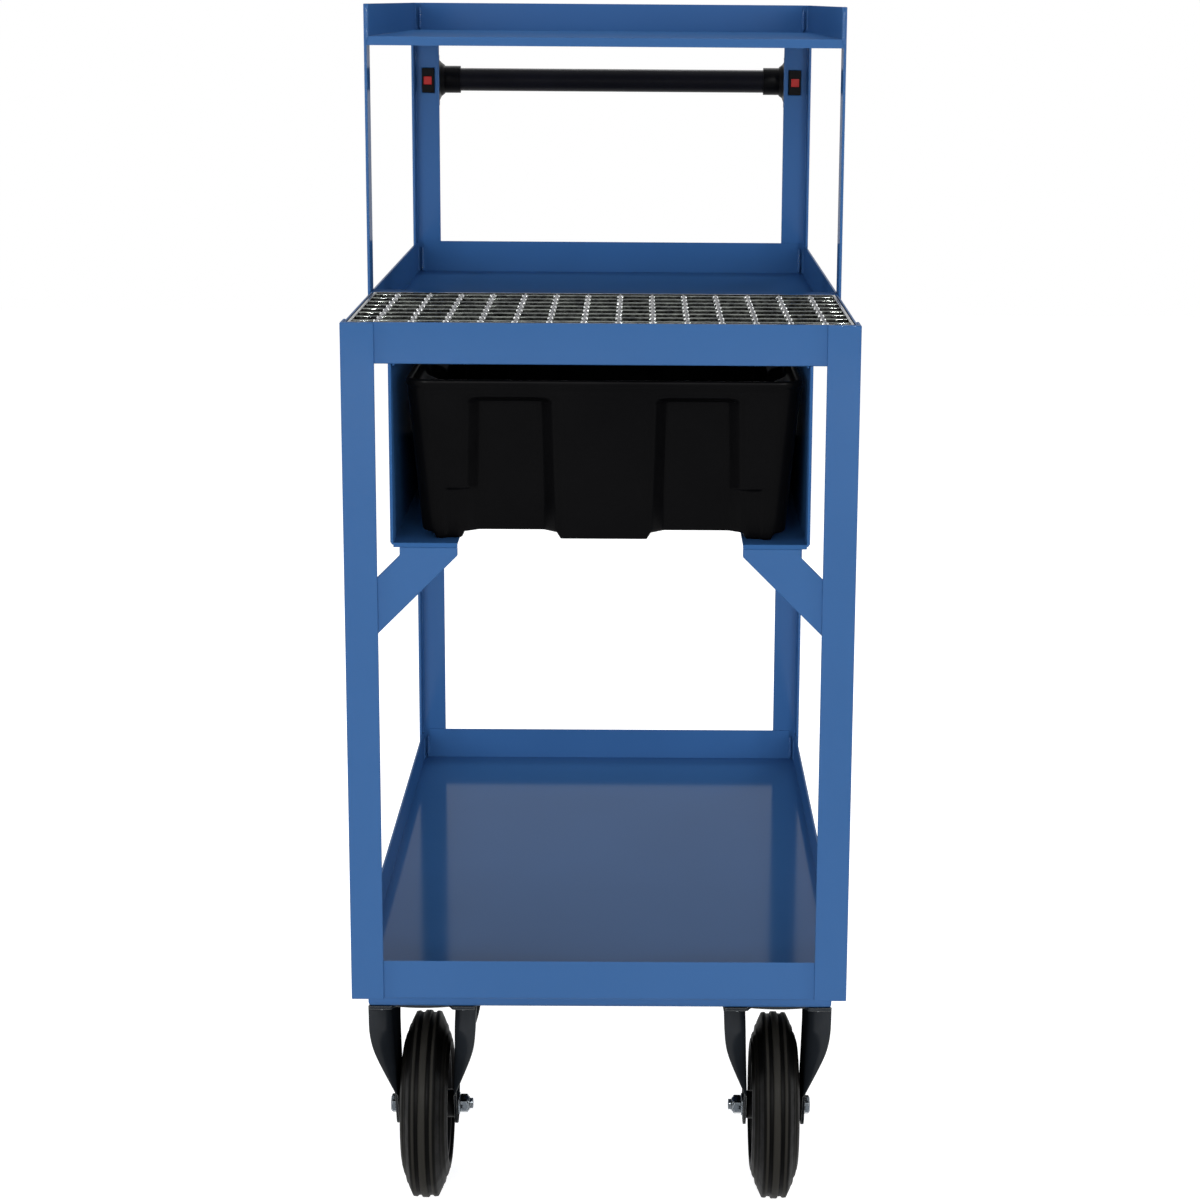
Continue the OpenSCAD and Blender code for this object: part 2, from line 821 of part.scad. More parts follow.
module at_rear_wheel(side) {
  translate([side * caster_x, rear_caster_y + trail, 0]) children();
}

module front_rim(side) {
  color(black) at_front_wheel(side) wheel_rim();
}

module front_tyre(side) {
  color(rubber) at_front_wheel(side) wheel_tyre();
}

module front_bearing(side) {
  color(zinc) at_front_wheel(side) wheel_bearing();
}

module rear_rim(side) {
  color(black) at_rear_wheel(side) wheel_rim();
}

module rear_tyre(side) {
  color(rubber) at_rear_wheel(side) wheel_tyre();
}

module rear_bearing(side) {
  color(zinc) at_rear_wheel(side) wheel_bearing();
}

// Top plate of a swivel caster with its upper ball race
module swivel_plate(side) {
  color(zinc) translate([side * caster_x, rear_caster_y, 0]) difference() {
    union() {
      translate([-plate_w / 2, -plate_l / 2, plate_z]) cube([plate_w, plate_l, plate_t]);
      translate([0, 0, plate_z - race_h]) cylinder(r1 = race_r - 6, r2 = race_r, h = race_h);
    }
    translate([0, 0, plate_z]) plate_holes(plate_t);
    translate([0, 0, plate_z - race_h - 1])
      cylinder(d = axle_d + 2 * run_play, h = race_h + plate_t + 2);
  }
}

// The kingpins hold the swivel forks; each is riveted flush in its plate, with a nut below
module kingpins() {
  nut_top = head_low - crown_t - side_gap;
  nut = 0.6 * axle_d;
  tail = 0.75 * axle_d;
  color(zinc) for (side = [-1, 1]) translate([side * caster_x, rear_caster_y, 0]) {
    translate([0, 0, nut_top - tail]) cylinder(d = axle_d, h = caster_h - nut_top + tail);
    translate([0, 0, nut_top - nut]) cylinder(d = hex_d, h = nut, $fn = 6);
  }
}

// Outline of a swivel fork's leg, seen along X, with an ear for the brake
module fork_leg() {
  top = head_low;
  difference() {
    union() {
      translate([trail, wheel_r]) circle(d = leg_end);
      translate([pivot_y, pivot_z]) circle(r = 11);
      polygon([
        [-34, top],
        [-34, top - 18],
        [trail - leg_end / 2, wheel_r],
        [trail + leg_end / 2, wheel_r],
        [pivot_y + 11, pivot_z],
        [pivot_y, pivot_z + 11],
        [44, top]
      ]);
    }
    translate([trail, wheel_r]) circle(d = axle_d + 2 * run_play);
    translate([pivot_y, pivot_z]) circle(d = pin_d + 2 * run_play);
  }
}

// Swivel fork: lower race cup, crown and two legs
module fork(side) {
  color(zinc) translate([side * caster_x, rear_caster_y, 0]) {
    difference() {
      union() {
        translate([0, 0, head_low]) rotate_extrude($fn = 96) polygon([
          [0, 0],
          [race_r - 8, 0],
          [race_r + 3, head_top - head_low - 3],
          [race_r + 3, head_top - head_low + 3],
          [race_r + 1, head_top - head_low + 3],
          [race_r + 1, head_top - head_low],
          [0, head_top - head_low]
        ]);
        translate([-leg_x, -34, head_low - crown_t]) cube([2 * leg_x, 78, crown_t]);
      }
      translate([0, 0, head_low - crown_t - 1])
        cylinder(d = axle_d + 2 * run_play, h = head_top - head_low + crown_t + 2);
    }
    for (x = [leg_x, -leg_x - fork_t])
      translate([x, 0, 0]) rotate([90, 0, 90]) linear_extrude(fork_t) fork_leg();
  }
}

module rear_axle_bolt(side) {
  color(zinc) at_side(side)
    translate([-caster_x, rear_caster_y + trail, 0]) axle_bolt();
}

module rear_axle_nut(side) {
  color(zinc) at_side(side)
    translate([-caster_x, rear_caster_y + trail, 0]) axle_nut();
}

// Brake lever, seen along X: a boss on the pivot, a curved shoe that follows the tyre,
// and an arm that carries the pedal
module brake_outline() {
  shoe_r = wheel_r + brake_gap;
  difference() {
    union() {
      translate([pivot_y, pivot_z]) circle(r = 10);
      translate([trail, wheel_r]) difference() {
        intersection() {
          circle(r = shoe_r + 6, $fn = 128);
          rotate(brake_angle) polygon([[0, 0], [1.5 * shoe_r, -0.65 * shoe_r], [1.5 * shoe_r, 0]]);
        }
        circle(r = shoe_r, $fn = 128);
      }
      translate([pivot_y, pivot_z]) rotate(12) polygon([[0, -5], [58, -1], [58, 4], [0, 9]]);
    }
    translate([trail, wheel_r]) circle(r = shoe_r - 2, $fn = 128);
    translate([pivot_y, pivot_z]) circle(d = pin_d + 2 * run_play);
  }
}

module brake(side) {
  width = fork_gap - 4 * side_gap;
  pad_w = 56;
  color(zinc) translate([side * caster_x, rear_caster_y, 0]) {
    translate([-width / 2, 0, 0]) rotate([90, 0, 90]) linear_extrude(width) brake_outline();
    translate([-pad_w / 2, 0, 0]) rotate([90, 0, 90]) linear_extrude(pad_w)
      translate([pivot_y, pivot_z]) rotate(12) translate([34, 2]) square([30, 5]);
  }
}

// Rivets that the brake levers turn on
module brake_pin(side) {
  width = fork_gap + 2 * fork_t;
  color(zinc) translate([side * caster_x, rear_caster_y + pivot_y, pivot_z])
    rotate([0, 90, 0]) {
      cylinder(d = pin_d, h = width + 2 * side_gap, center = true);
      for (end = [0, 1]) mirror([0, 0, end])
        translate([0, 0, width / 2 + side_gap / 2]) cylinder(d = pin_d + 5, h = 2.5);
    }
}

front_post(-1);  // post_front_left
front_post(1);  // post_front_right
rear_post(-1);  // post_rear_left
rear_post(1);  // post_rear_right
upright(-1);  // upright_left
upright(1);  // upright_right
rail_front();
rail_side(-1);  // rail_side_left
rail_side(1);  // rail_side_right
rail_cross();
shelf_lower();
shelf_middle();
shelf_upper();
runner(-1);  // runner_left
runner(1);  // runner_right
brace(-1);  // brace_left
brace(1);  // brace_right
beam(front_caster_y);  // beam_front
beam(rear_caster_y);  // beam_rear
grating_band();
grating_bars();
grating_rods();
sump_tray();
handle_tube();
handle_bracket(-1);  // handle_bracket_left
handle_bracket(1);  // handle_bracket_right
locking_caps();
caster_bolts();
caster_nuts();
housing(-1);  // housing_left
housing(1);  // housing_right
front_axle_bolts();
front_axle_nuts();
front_rim(-1);  // front_rim_left
front_tyre(-1);  // front_tyre_left
front_bearing(-1);  // front_bearing_left
front_rim(1);  // front_rim_right
front_tyre(1);  // front_tyre_right
front_bearing(1);  // front_bearing_right
swivel_plate(-1);  // swivel_plate_left
swivel_plate(1);  // swivel_plate_right
kingpins();
fork(-1);  // fork_left
rear_axle_bolt(-1);  // rear_axle_bolt_left
rear_axle_nut(-1);  // rear_axle_nut_left
rear_rim(-1);  // rear_rim_left
rear_tyre(-1);  // rear_tyre_left
rear_bearing(-1);  // rear_bearing_left
brake(-1);  // brake_left
brake_pin(-1);  // brake_pin_left
fork(1);  // fork_right
rear_axle_bolt(1);  // rear_axle_bolt_right
rear_axle_nut(1);  // rear_axle_nut_right
rear_rim(1);  // rear_rim_right
rear_tyre(1);  // rear_tyre_right
rear_bearing(1);  // rear_bearing_right
brake(1);  // brake_right
brake_pin(1);  // brake_pin_right
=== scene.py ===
# %% [markdown]
# A mobile dispensing station is a steel trolley for handing out liquids. Cans stand on its
# shelves, the can in use stands on a grating at the front end, and what drips goes into a
# black sump tray below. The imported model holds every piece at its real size. This script
# dresses it: it rounds edges, folds sheets, moulds plastic, lays weld beads and gives each
# piece its finish, and it never moves a part of the model.

# %% Load the frame
import json
import math

import bmesh
import bpy
import numpy as np
from mathutils import Matrix, Vector


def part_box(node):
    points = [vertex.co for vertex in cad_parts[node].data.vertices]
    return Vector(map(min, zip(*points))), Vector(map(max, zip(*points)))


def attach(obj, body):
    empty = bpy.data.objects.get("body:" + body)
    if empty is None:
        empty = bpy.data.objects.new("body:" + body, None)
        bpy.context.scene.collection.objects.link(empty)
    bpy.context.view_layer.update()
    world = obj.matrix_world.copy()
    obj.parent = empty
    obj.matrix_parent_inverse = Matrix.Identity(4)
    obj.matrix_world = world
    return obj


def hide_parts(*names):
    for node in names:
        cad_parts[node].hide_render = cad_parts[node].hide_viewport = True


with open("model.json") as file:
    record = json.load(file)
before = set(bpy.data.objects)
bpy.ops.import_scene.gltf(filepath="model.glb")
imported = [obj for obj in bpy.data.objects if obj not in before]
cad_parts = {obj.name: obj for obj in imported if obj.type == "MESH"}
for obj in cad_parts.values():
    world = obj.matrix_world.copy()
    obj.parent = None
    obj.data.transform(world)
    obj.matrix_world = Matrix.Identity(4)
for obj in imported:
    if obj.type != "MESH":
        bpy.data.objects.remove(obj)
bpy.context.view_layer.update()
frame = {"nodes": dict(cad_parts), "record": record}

MM = 0.001
SIDES = {"left": -1, "right": 1}


def node_box(node):
    """Lowest and highest corner of a node of the model, as two arrays in metres."""
    low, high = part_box(node)
    return np.array(low), np.array(high)


def new_object(name, data):
    """An object that shows the data, linked to the scene."""
    thing = bpy.data.objects.new(name, data)
    bpy.context.scene.collection.objects.link(thing)
    return thing


# %% [markdown]
# The camera stands where the photographer stood: about three metres in front of the grating
# end, a little above the working height, looking slightly down. Its place was worked out
# from the trolley's own edges. A long lens keeps the posts nearly parallel, and the small
# lens shift says that the picture was cropped a little off centre.

# %% Camera
PHOTO_WIDTH = 1200
SENSOR_MM = 36.0
FOCAL_PX = 2719.3
CENTRE_PX = (658.54, 605.47)
CAMERA_PLACE = Vector((0.0372, -3.0800, 1.2573))
PITCH, YAW, ROLL = (math.radians(a) for a in (12.584, 0.441, -0.416))

forward = Vector((math.sin(YAW) * math.cos(PITCH), math.cos(YAW) * math.cos(PITCH),
                  -math.sin(PITCH)))
level_right = Vector((math.cos(YAW), -math.sin(YAW), 0.0))
level_up = level_right.cross(forward)
right = math.cos(ROLL) * level_right - math.sin(ROLL) * level_up
up = math.sin(ROLL) * level_right + math.cos(ROLL) * level_up

lens = bpy.data.cameras.new("camera")
lens.sensor_width = SENSOR_MM
lens.lens = FOCAL_PX / PHOTO_WIDTH * SENSOR_MM
lens.shift_x = (PHOTO_WIDTH / 2 - CENTRE_PX[0]) / PHOTO_WIDTH
lens.shift_y = (CENTRE_PX[1] - PHOTO_WIDTH / 2) / PHOTO_WIDTH
camera = new_object("camera", lens)
turn = Matrix((right, up, -forward)).transposed().to_4x4()
camera.matrix_world = Matrix.Translation(CAMERA_PLACE) @ turn
bpy.context.scene.camera = camera
bpy.context.scene.view_settings.view_transform = "Standard"
print("lens", round(lens.lens, 1), "mm, shift",
      round(lens.shift_x, 4), round(lens.shift_y, 4))

# %% [markdown]
# The trolley is photographed on pure white with soft light from the front. The floor keeps
# the object's shadow, but a camera ray or a reflection adds light to it, so that the rest of
# it reads as white paper. The world is white where one of these looks at it, and dim as a
# source of light, so that the inner faces stay as dark as in the picture.
#
# Two wide lamps in front and one above light the colours and don't show as reflections. A
# strip on each side and a lamp behind do both. Two small sparks do the opposite: they light
# nothing and only make highlights on rounded edges.

# %% Floor, world and lamps
FLOOR_HALF = 8.0
FLOOR_GREY = 0.65
FLOOR_LIFT = 0.9
WORLD_LIGHT = 0.2


def wire(tree, start, end):
    """Joins an output socket to an input socket."""
    tree.links.new(start, end)


def new_node(tree, kind, **settings):
    """Adds a shader node; the keywords are its own settings, such as operation."""
    node = tree.nodes.new(kind)
    for key, value in settings.items():
        setattr(node, key, value)
    return node


def times(tree, socket, factor):
    """A value socket multiplied by a fixed factor."""
    node = new_node(tree, "ShaderNodeMath", operation="MULTIPLY")
    node.inputs[1].default_value = factor
    wire(tree, socket, node.inputs[0])
    return node.outputs[0]


def spread(tree, socket, low, high):
    """A Map Range node that takes a value from low..high to 0..1."""
    node = new_node(tree, "ShaderNodeMapRange")
    node.inputs["From Min"].default_value = low
    node.inputs["From Max"].default_value = high
    wire(tree, socket, node.inputs["Value"])
    return node


def ray_mask(tree, *kinds):
    """1 where a ray of one of the named kinds looks: the greatest of their sockets."""
    rays = new_node(tree, "ShaderNodeLightPath")
    seen = rays.outputs[kinds[0]]
    for kind in kinds[1:]:
        most = new_node(tree, "ShaderNodeMath", operation="MAXIMUM")
        wire(tree, seen, most.inputs[0])
        wire(tree, rays.outputs[kind], most.inputs[1])
        seen = most.outputs[0]
    return seen


def make_floor():
    """A wide plane that takes shadows and glows where the camera or a reflection looks."""
    corners = FLOOR_HALF * np.array([(-1, -1, 0), (1, -1, 0), (1, 1, 0), (-1, 1, 0)])
    mesh = bpy.data.meshes.new("floor")
    mesh.from_pydata(corners, [], [(0, 1, 2, 3)])
    floor = new_object("floor", mesh)
    paper = bpy.data.materials.new("white_paper")
    paper.use_nodes = True
    tree = paper.node_tree
    base = tree.nodes["Principled BSDF"]
    base.inputs["Base Color"].default_value = (FLOOR_GREY, FLOOR_GREY, FLOOR_GREY, 1)
    base.inputs["Roughness"].default_value = 0.9
    base.inputs["Specular IOR Level"].default_value = 0.0
    glow = new_node(tree, "ShaderNodeEmission")
    seen = ray_mask(tree, "Is Camera Ray", "Is Glossy Ray")
    wire(tree, times(tree, seen, FLOOR_LIFT), glow.inputs["Strength"])
    both = new_node(tree, "ShaderNodeAddShader")
    wire(tree, base.outputs[0], both.inputs[0])
    wire(tree, glow.outputs[0], both.inputs[1])
    wire(tree, both.outputs[0], tree.nodes["Material Output"].inputs["Surface"])
    mesh.materials.append(paper)


def light_world():
    """A world that looks white but lights the object only a little."""
    world = bpy.data.worlds.new("studio")
    bpy.context.scene.world = world
    world.use_nodes = True
    tree = world.node_tree
    background = tree.nodes["Background"]
    background.inputs["Color"].default_value = (1, 1, 1, 1)
    seen = ray_mask(tree, "Is Camera Ray", "Is Glossy Ray", "Is Transmission Ray")
    level = spread(tree, seen, 0, 1)
    level.inputs["To Min"].default_value = WORLD_LIGHT
    wire(tree, level.outputs[0], background.inputs["Strength"])


def softbox(name, place, target, width, height, watts, light=True, shine=True):
    """A rectangular lamp at place that faces target. Without light it only makes
    highlights on rounded edges, and without shine it only lights the colours."""
    lamp = bpy.data.lights.new(name, "AREA")
    lamp.shape = "RECTANGLE"
    lamp.size = width
    lamp.size_y = height
    lamp.energy = watts
    thing = new_object(name, lamp)
    thing.location = place
    thing.visible_diffuse = light
    thing.visible_glossy = shine
    aim = Vector(target) - Vector(place)
    thing.rotation_euler = aim.to_track_quat("-Z", "Y").to_euler()


make_floor()
light_world()
softbox("key_lamp", (-1.6, -7.4, 1.7), (0, 0, 0.7), 2.2, 2.4, 214, shine=False)
softbox("fill_lamp", (1.8, -7.4, 1.7), (0, 0, 0.7), 2.2, 2.4, 164, shine=False)
softbox("left_strip", (-3.2, -1.2, 1.6), (0, 0, 0.5), 0.5, 1.6, 30)
softbox("right_strip", (3.2, -1.2, 1.6), (0, 0, 0.5), 0.5, 1.6, 28)
softbox("top_lamp", (0, 0.4, 4.2), (0, 0.1, 0.7), 2.0, 2.0, 40, shine=False)
softbox("left_spark", (-1.5, -4.6, 3.2), (0, -0.3, 0.9), 0.3, 0.3, 260, light=False)
softbox("right_spark", (1.7, -4.4, 3.0), (0, -0.3, 0.9), 0.3, 0.3, 260, light=False)
softbox("back_lamp", (0.4, 2.8, 3.0), (0, 0, 0.8), 2.2, 1.4, 34)
print("floor, world and lamps are set")

# %% [markdown]
# Effects that more than one finish uses are shader groups. Cloud gives a soft cloudy value
# between two limits, which breaks up a colour or a gloss that would look flat. Skin gives the
# small waves of a coat of paint or a moulded surface as a normal. Edge gives a mask that is
# white along edges, where plated steel is coloured lighter: a painted highlight, with some
# rubbed wear.

# %% Shader groups


def group_tree(name, inputs, output, kind="NodeSocketFloat"):
    """A new shader group with named number inputs and one output of the given kind."""
    tree = bpy.data.node_groups.new(name, "ShaderNodeTree")
    for socket, value in inputs.items():
        made = tree.interface.new_socket(
            socket, in_out="INPUT", socket_type="NodeSocketFloat")
        made.default_value = value
    tree.interface.new_socket(output, in_out="OUTPUT", socket_type=kind)
    return tree, tree.nodes.new("NodeGroupInput"), tree.nodes.new("NodeGroupOutput")


def object_noise(tree, given):
    """A noise on Object coordinates whose scale comes from the group's input."""
    place = new_node(tree, "ShaderNodeTexCoord")
    noise = new_node(tree, "ShaderNodeTexNoise")
    wire(tree, place.outputs["Object"], noise.inputs["Vector"])
    wire(tree, given.outputs["Scale"], noise.inputs["Scale"])
    return noise


def make_cloud():
    """Value = low + (high - low) x noise, with the noise stretched to fill 0 to 1."""
    tree, given, result = group_tree(
        "Cloud", {"Scale": 8, "Detail": 3, "Low": 0, "High": 1}, "Value")
    noise = object_noise(tree, given)
    wire(tree, given.outputs["Detail"], noise.inputs["Detail"])
    value = spread(tree, noise.outputs["Fac"], 0.3, 0.7)
    wire(tree, given.outputs["Low"], value.inputs["To Min"])
    wire(tree, given.outputs["High"], value.inputs["To Max"])
    wire(tree, value.outputs[0], result.inputs["Value"])
    return tree


def make_skin():
    """Normal bent by a noise of the given scale, whose waves are Depth millimetres high."""
    tree, given, result = group_tree(
        "Skin", {"Scale": 300, "Depth": 0.02}, "Normal", "NodeSocketVector")
    noise = object_noise(tree, given)
    noise.inputs["Detail"].default_value = 2
    bump = new_node(tree, "ShaderNodeBump")
    wire(tree, noise.outputs["Fac"], bump.inputs["Height"])
    wire(tree, times(tree, given.outputs["Depth"], MM), bump.inputs["Distance"])
    wire(tree, bump.outputs[0], result.inputs["Normal"])
    return tree


def make_edge():
    """Mask from the dot product of the normal and the normal with its edges rounded over
    the radius (mm): 0 on flat ground, where it is 0.995 or more, and 1 at 0.9 or less."""
    tree, given, result = group_tree("Edge", {"Radius": 1}, "Mask")
    rounded = new_node(tree, "ShaderNodeBevel", samples=4)
    wire(tree, times(tree, given.outputs["Radius"], MM), rounded.inputs["Radius"])
    ground = new_node(tree, "ShaderNodeNewGeometry")
    both = new_node(tree, "ShaderNodeVectorMath", operation="DOT_PRODUCT")
    wire(tree, rounded.outputs[0], both.inputs[0])
    wire(tree, ground.outputs["Normal"], both.inputs[1])
    mask = spread(tree, both.outputs["Value"], 0.995, 0.9)
    wire(tree, mask.outputs[0], result.inputs["Mask"])
    return tree


cloud_group = make_cloud()
skin_group = make_skin()
edge_group = make_edge()
print("shader groups:", [g.name for g in bpy.data.node_groups])

# %% [markdown]
# Each finish is a Principled shader of its own. The values that are the same all over are set
# on its sockets, and the groups feed only what changes over the surface. Powder coat is a
# glossy plastic skin on steel, so it is a dielectric with fine waves, and it is thicker on a
# weld. On the runners and cross rails it is a slightly darker copy with almost no coat, which
# is painted shade. Galvanised and plated steel are metals. The rods and band of the grating
# are a darker copy of the galvanised zinc. The caster housings, forks and plates are dark
# dielectrics with a thin coat. The dark colour of both is a painted dark reflection. Plastics
# and rubber differ mainly in how rough they are.

# %% Helpers for finishes
FINISHES = {}
CLOUD_DETAIL = 3
GLOSS_SCALE = 2.5
# Radius in mm over which the Edge mask paints edges lighter: a painted highlight, with some
# rubbed wear
EDGE_SHINE_AND_WEAR = 1.2


def srgb(colour):
    """A colour given as 0 to 255 in a picture, as the linear numbers that shaders use."""
    c = np.array(colour) / 255
    linear = np.where(c <= 0.04045, c / 12.92, ((c + 0.055) / 1.055) ** 2.4)
    return (*linear.tolist(), 1.0)


def add_group(tree, group, *values):
    """Places a shader group with values for its inputs in order; gives its output."""
    node = new_node(tree, "ShaderNodeGroup", node_tree=group)
    for socket, value in zip(node.inputs, values):
        socket.default_value = value
    return node.outputs[0]


def own_mark(tree):
    """The number called mark that a piece stores with each of its points."""
    return new_node(tree, "ShaderNodeAttribute", attribute_name="mark").outputs["Fac"]


def blend_colours(tree, factor, first, second):
    """A mix of two colours by a factor socket; the first may be a socket itself."""
    mix = new_node(tree, "ShaderNodeMix", data_type="RGBA")
    if isinstance(first, tuple):
        mix.inputs["A"].default_value = first
    else:
        wire(tree, first, mix.inputs["A"])
    mix.inputs["B"].default_value = second
    wire(tree, factor, mix.inputs["Factor"])
    return mix.outputs["Result"]


def finish(name, first, second, cloud, roughness, skin, worn=None, edge=None,
           coat_mark=None, **sockets):
    """A finish: two near colours mixed by a cloud of the given scale, a roughness that
    wanders between two limits, a skin of the given scale and depth, and fixed sockets.
    Worn is a colour blended in by the piece's own mark, edge one blended in along edges as a
    painted highlight with some rubbed wear, and coat_mark the weight of a clear coat where
    the mark is 1."""
    made = bpy.data.materials.new(name)
    made.use_nodes = True
    tree = made.node_tree
    shader = tree.nodes["Principled BSDF"]
    for socket, value in sockets.items():
        shader.inputs[socket.replace("_", " ")].default_value = value
    mixed = add_group(tree, cloud_group, cloud, CLOUD_DETAIL, 0, 1)
    tint = blend_colours(tree, mixed, srgb(first), srgb(second))
    if worn:
        tint = blend_colours(tree, own_mark(tree), tint, srgb(worn))
    if edge:
        rim = add_group(tree, edge_group, EDGE_SHINE_AND_WEAR)
        tint = blend_colours(tree, rim, tint, srgb(edge))
    if coat_mark:
        wire(tree, times(tree, own_mark(tree), coat_mark), shader.inputs["Coat Weight"])
    gloss = add_group(tree, cloud_group, cloud * GLOSS_SCALE, CLOUD_DETAIL, *roughness)
    wire(tree, tint, shader.inputs["Base Color"])
    wire(tree, gloss, shader.inputs["Roughness"])
    wire(tree, add_group(tree, skin_group, *skin), shader.inputs["Normal"])
    FINISHES[name] = made


# %% Finishes
finish("blue_paint", (51, 93, 145), (55, 97, 150), 3, (0.13, 0.17), (420, 0.012),
       Specular_IOR_Level=0.0, Coat_Weight=0.25, Coat_Roughness=0.1)
# A slightly darker copy of the blue paint with almost no coat: painted shade for the runners
# and cross rails
finish("inner_paint", (49, 90, 141), (53, 94, 146), 3, (0.2, 0.26), (420, 0.012),
       Specular_IOR_Level=0.0, Coat_Weight=0.03, Coat_Roughness=0.2)
finish("weld_paint", (48, 89, 140), (55, 97, 150), 40, (0.13, 0.17), (600, 0.02),
       Specular_IOR_Level=0.0, Coat_Weight=0.35, Coat_Roughness=0.12)
finish("galvanised", (78, 81, 81), (130, 134, 128), 90, (0.12, 0.26), (240, 0.1),
       Metallic=1.0)
# A darker copy of the galvanised finish for the rods and the band: a painted dark reflection
finish("rod_zinc", (44, 47, 50), (76, 79, 79), 90, (0.16, 0.3), (240, 0.1), Metallic=1.0)
# Zinc drops coloured near white: painted glints on bright zinc
finish("drop_zinc_painted_glint", (240, 242, 243), (250, 251, 251), 110, (0.1, 0.2), (400, 0.03),
       Metallic=0.25)
# Plated steel, coloured lighter along edges: a painted highlight, with some rubbed wear
finish("zinc_plate", (80, 86, 92), (96, 102, 108), 14, (0.16, 0.28), (300, 0.01),
       edge=(170, 176, 180), Metallic=1.0)
# Housing legs: the dark colour is a painted dark reflection, and the lighter edges are a
# painted highlight with some rubbed wear
finish("leg_zinc_dark_reflection", (24, 27, 31), (34, 38, 43), 9, (0.3, 0.4), (300, 0.01),
       edge=(112, 114, 112), coat_mark=0.3, Specular_IOR_Level=0.0, Coat_Roughness=0.25)
# Forks and caster plates: the dark colour is a painted dark reflection, and the lighter edges
# are a painted highlight with some rubbed wear
finish("dark_plate", (30, 34, 39), (40, 44, 50), 9, (0.24, 0.34), (300, 0.01),
       edge=(112, 114, 112), Specular_IOR_Level=0.0, Coat_Weight=0.25, Coat_Roughness=0.2)
finish("black_tray", (4, 4, 5), (7, 7, 8), 12, (0.3, 0.38), (900, 0.01),
       Specular_IOR_Level=0.03)
finish("black_tube", (19, 19, 23), (22, 22, 27), 10, (0.3, 0.38), (600, 0.008),
       Specular_IOR_Level=0.05)
finish("black_nylon", (9, 9, 11), (12, 12, 14), 14, (0.36, 0.46), (1400, 0.02),
       Specular_IOR_Level=0.04)
finish("red_cap", (160, 18, 17), (176, 23, 20), 40, (0.3, 0.4), (1200, 0.01),
       Specular_IOR_Level=0.2)
finish("black_rim", (8, 8, 9), (12, 12, 13), 20, (0.4, 0.5), (1000, 0.02),
       Specular_IOR_Level=0.05)
finish("tyre_rubber", (4, 4, 4), (8, 8, 8), 26, (0.42, 0.55), (1200, 0.03),
       worn=(44, 43, 40), Specular_IOR_Level=0.03)
finish("steel", (100, 101, 104), (130, 130, 132), 30, (0.3, 0.42), (300, 0.01),
       Metallic=1.0)

slot_of = {s["node"]: s["material_slot"] for s in frame["record"]["subparts"]}
bodies = frame["record"]["behaviour"]["bodies"]
body_of = {node: body for body, members in bodies.items() for node in members}
print(len(FINISHES), "finishes for", len(slot_of), "nodes")

# %% [markdown]
# A mesh from a table of points needs only its faces. On a grid, each face joins a point to
# its neighbours in the next row and column, so the index numbers come from arithmetic on
# whole arrays. A closed direction wraps round to the first row or column. From here on,
# points are worked out in millimetres, as on a drawing, and turned to metres at the end.

# %% Helpers for pieces


def grid_quads(rows, columns, close_rows=False, close_columns=False):
    """Index numbers of the four corners of every cell of a grid of points."""
    r = np.arange(rows if close_rows else rows - 1)
    c = np.arange(columns if close_columns else columns - 1)
    r0, c0 = np.meshgrid(r, c, indexing="ij")
    r1, c1 = (r0 + 1) % rows, (c0 + 1) % columns
    corners = [r0 * columns + c0, r0 * columns + c1, r1 * columns + c1, r1 * columns + c0]
    return np.stack(corners, axis=-1).reshape(-1, 4)


def join(parts):
    """Puts (points, faces) pairs into one pair, with the index numbers moved on."""
    starts = np.cumsum([0] + [len(p.reshape(-1, 3)) for p, _ in parts[:-1]])
    points = np.concatenate([p.reshape(-1, 3) for p, _ in parts])
    faces = np.concatenate([f + s for (_, f), s in zip(parts, starts)])
    return points, faces


def add_piece(name, parts, body, slot, replaces=(), look=None, seam=0.01, sharp=40,
              marks=None):
    """Makes an object from (points in mm, quads) pairs, merges points closer than the seam,
    turns the faces outwards, keeps edges above the sharp angle crisp, and lets it ride. Its
    finish is named by the look, or else by the slot, and marks is a number per point."""
    points, faces = join(parts)
    mesh = bpy.data.meshes.new(name)
    mesh.from_pydata(points * MM, [], faces)
    if marks is not None:
        mark = mesh.attributes.new("mark", "FLOAT", "POINT")
        mark.data.foreach_set("value", np.asarray(marks, np.float32).ravel())
    work = bmesh.new()
    work.from_mesh(mesh)
    bmesh.ops.remove_doubles(work, verts=work.verts, dist=seam * MM)
    bmesh.ops.recalc_face_normals(work, faces=work.faces)
    work.to_mesh(mesh)
    work.free()
    mesh.shade_smooth()
    mesh.set_sharp_from_angle(angle=math.radians(sharp))
    mesh.materials.append(FINISHES[look or slot])
    piece = new_object(name, mesh)
    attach(piece, body)
    if replaces:
        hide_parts(*replaces)
    return piece


def smooth_step(value, low, high):
    """0 below low, 1 above high, and 3t^2 - 2t^3 between them."""
    t = np.clip((value - low) / (high - low), 0, 1)
    return t * t * (3 - 2 * t)


def lathe(profile, columns=48, across=None):
    """Points of a solid turned about the Z axis: each (radius, height) of the profile goes
    round a circle. With across, six flats at that distance cut it to a hexagon, as
    radius = least of the profile's radius and (across / 2) / cos(angle from the flat)."""
    profile = np.array(profile, float)
    angle = np.linspace(0, 2 * np.pi, columns, endpoint=False)
    radius = np.repeat(profile[:, :1], columns, axis=1)
    if across:
        flat = np.mod(angle, np.pi / 3) - np.pi / 6
        radius = np.minimum(radius, across / 2 / np.cos(flat))
    points = np.stack([radius * np.cos(angle), radius * np.sin(angle),
                       np.repeat(profile[:, 1:], columns, axis=1)], axis=-1)
    return points, grid_quads(len(profile), columns, close_columns=True)


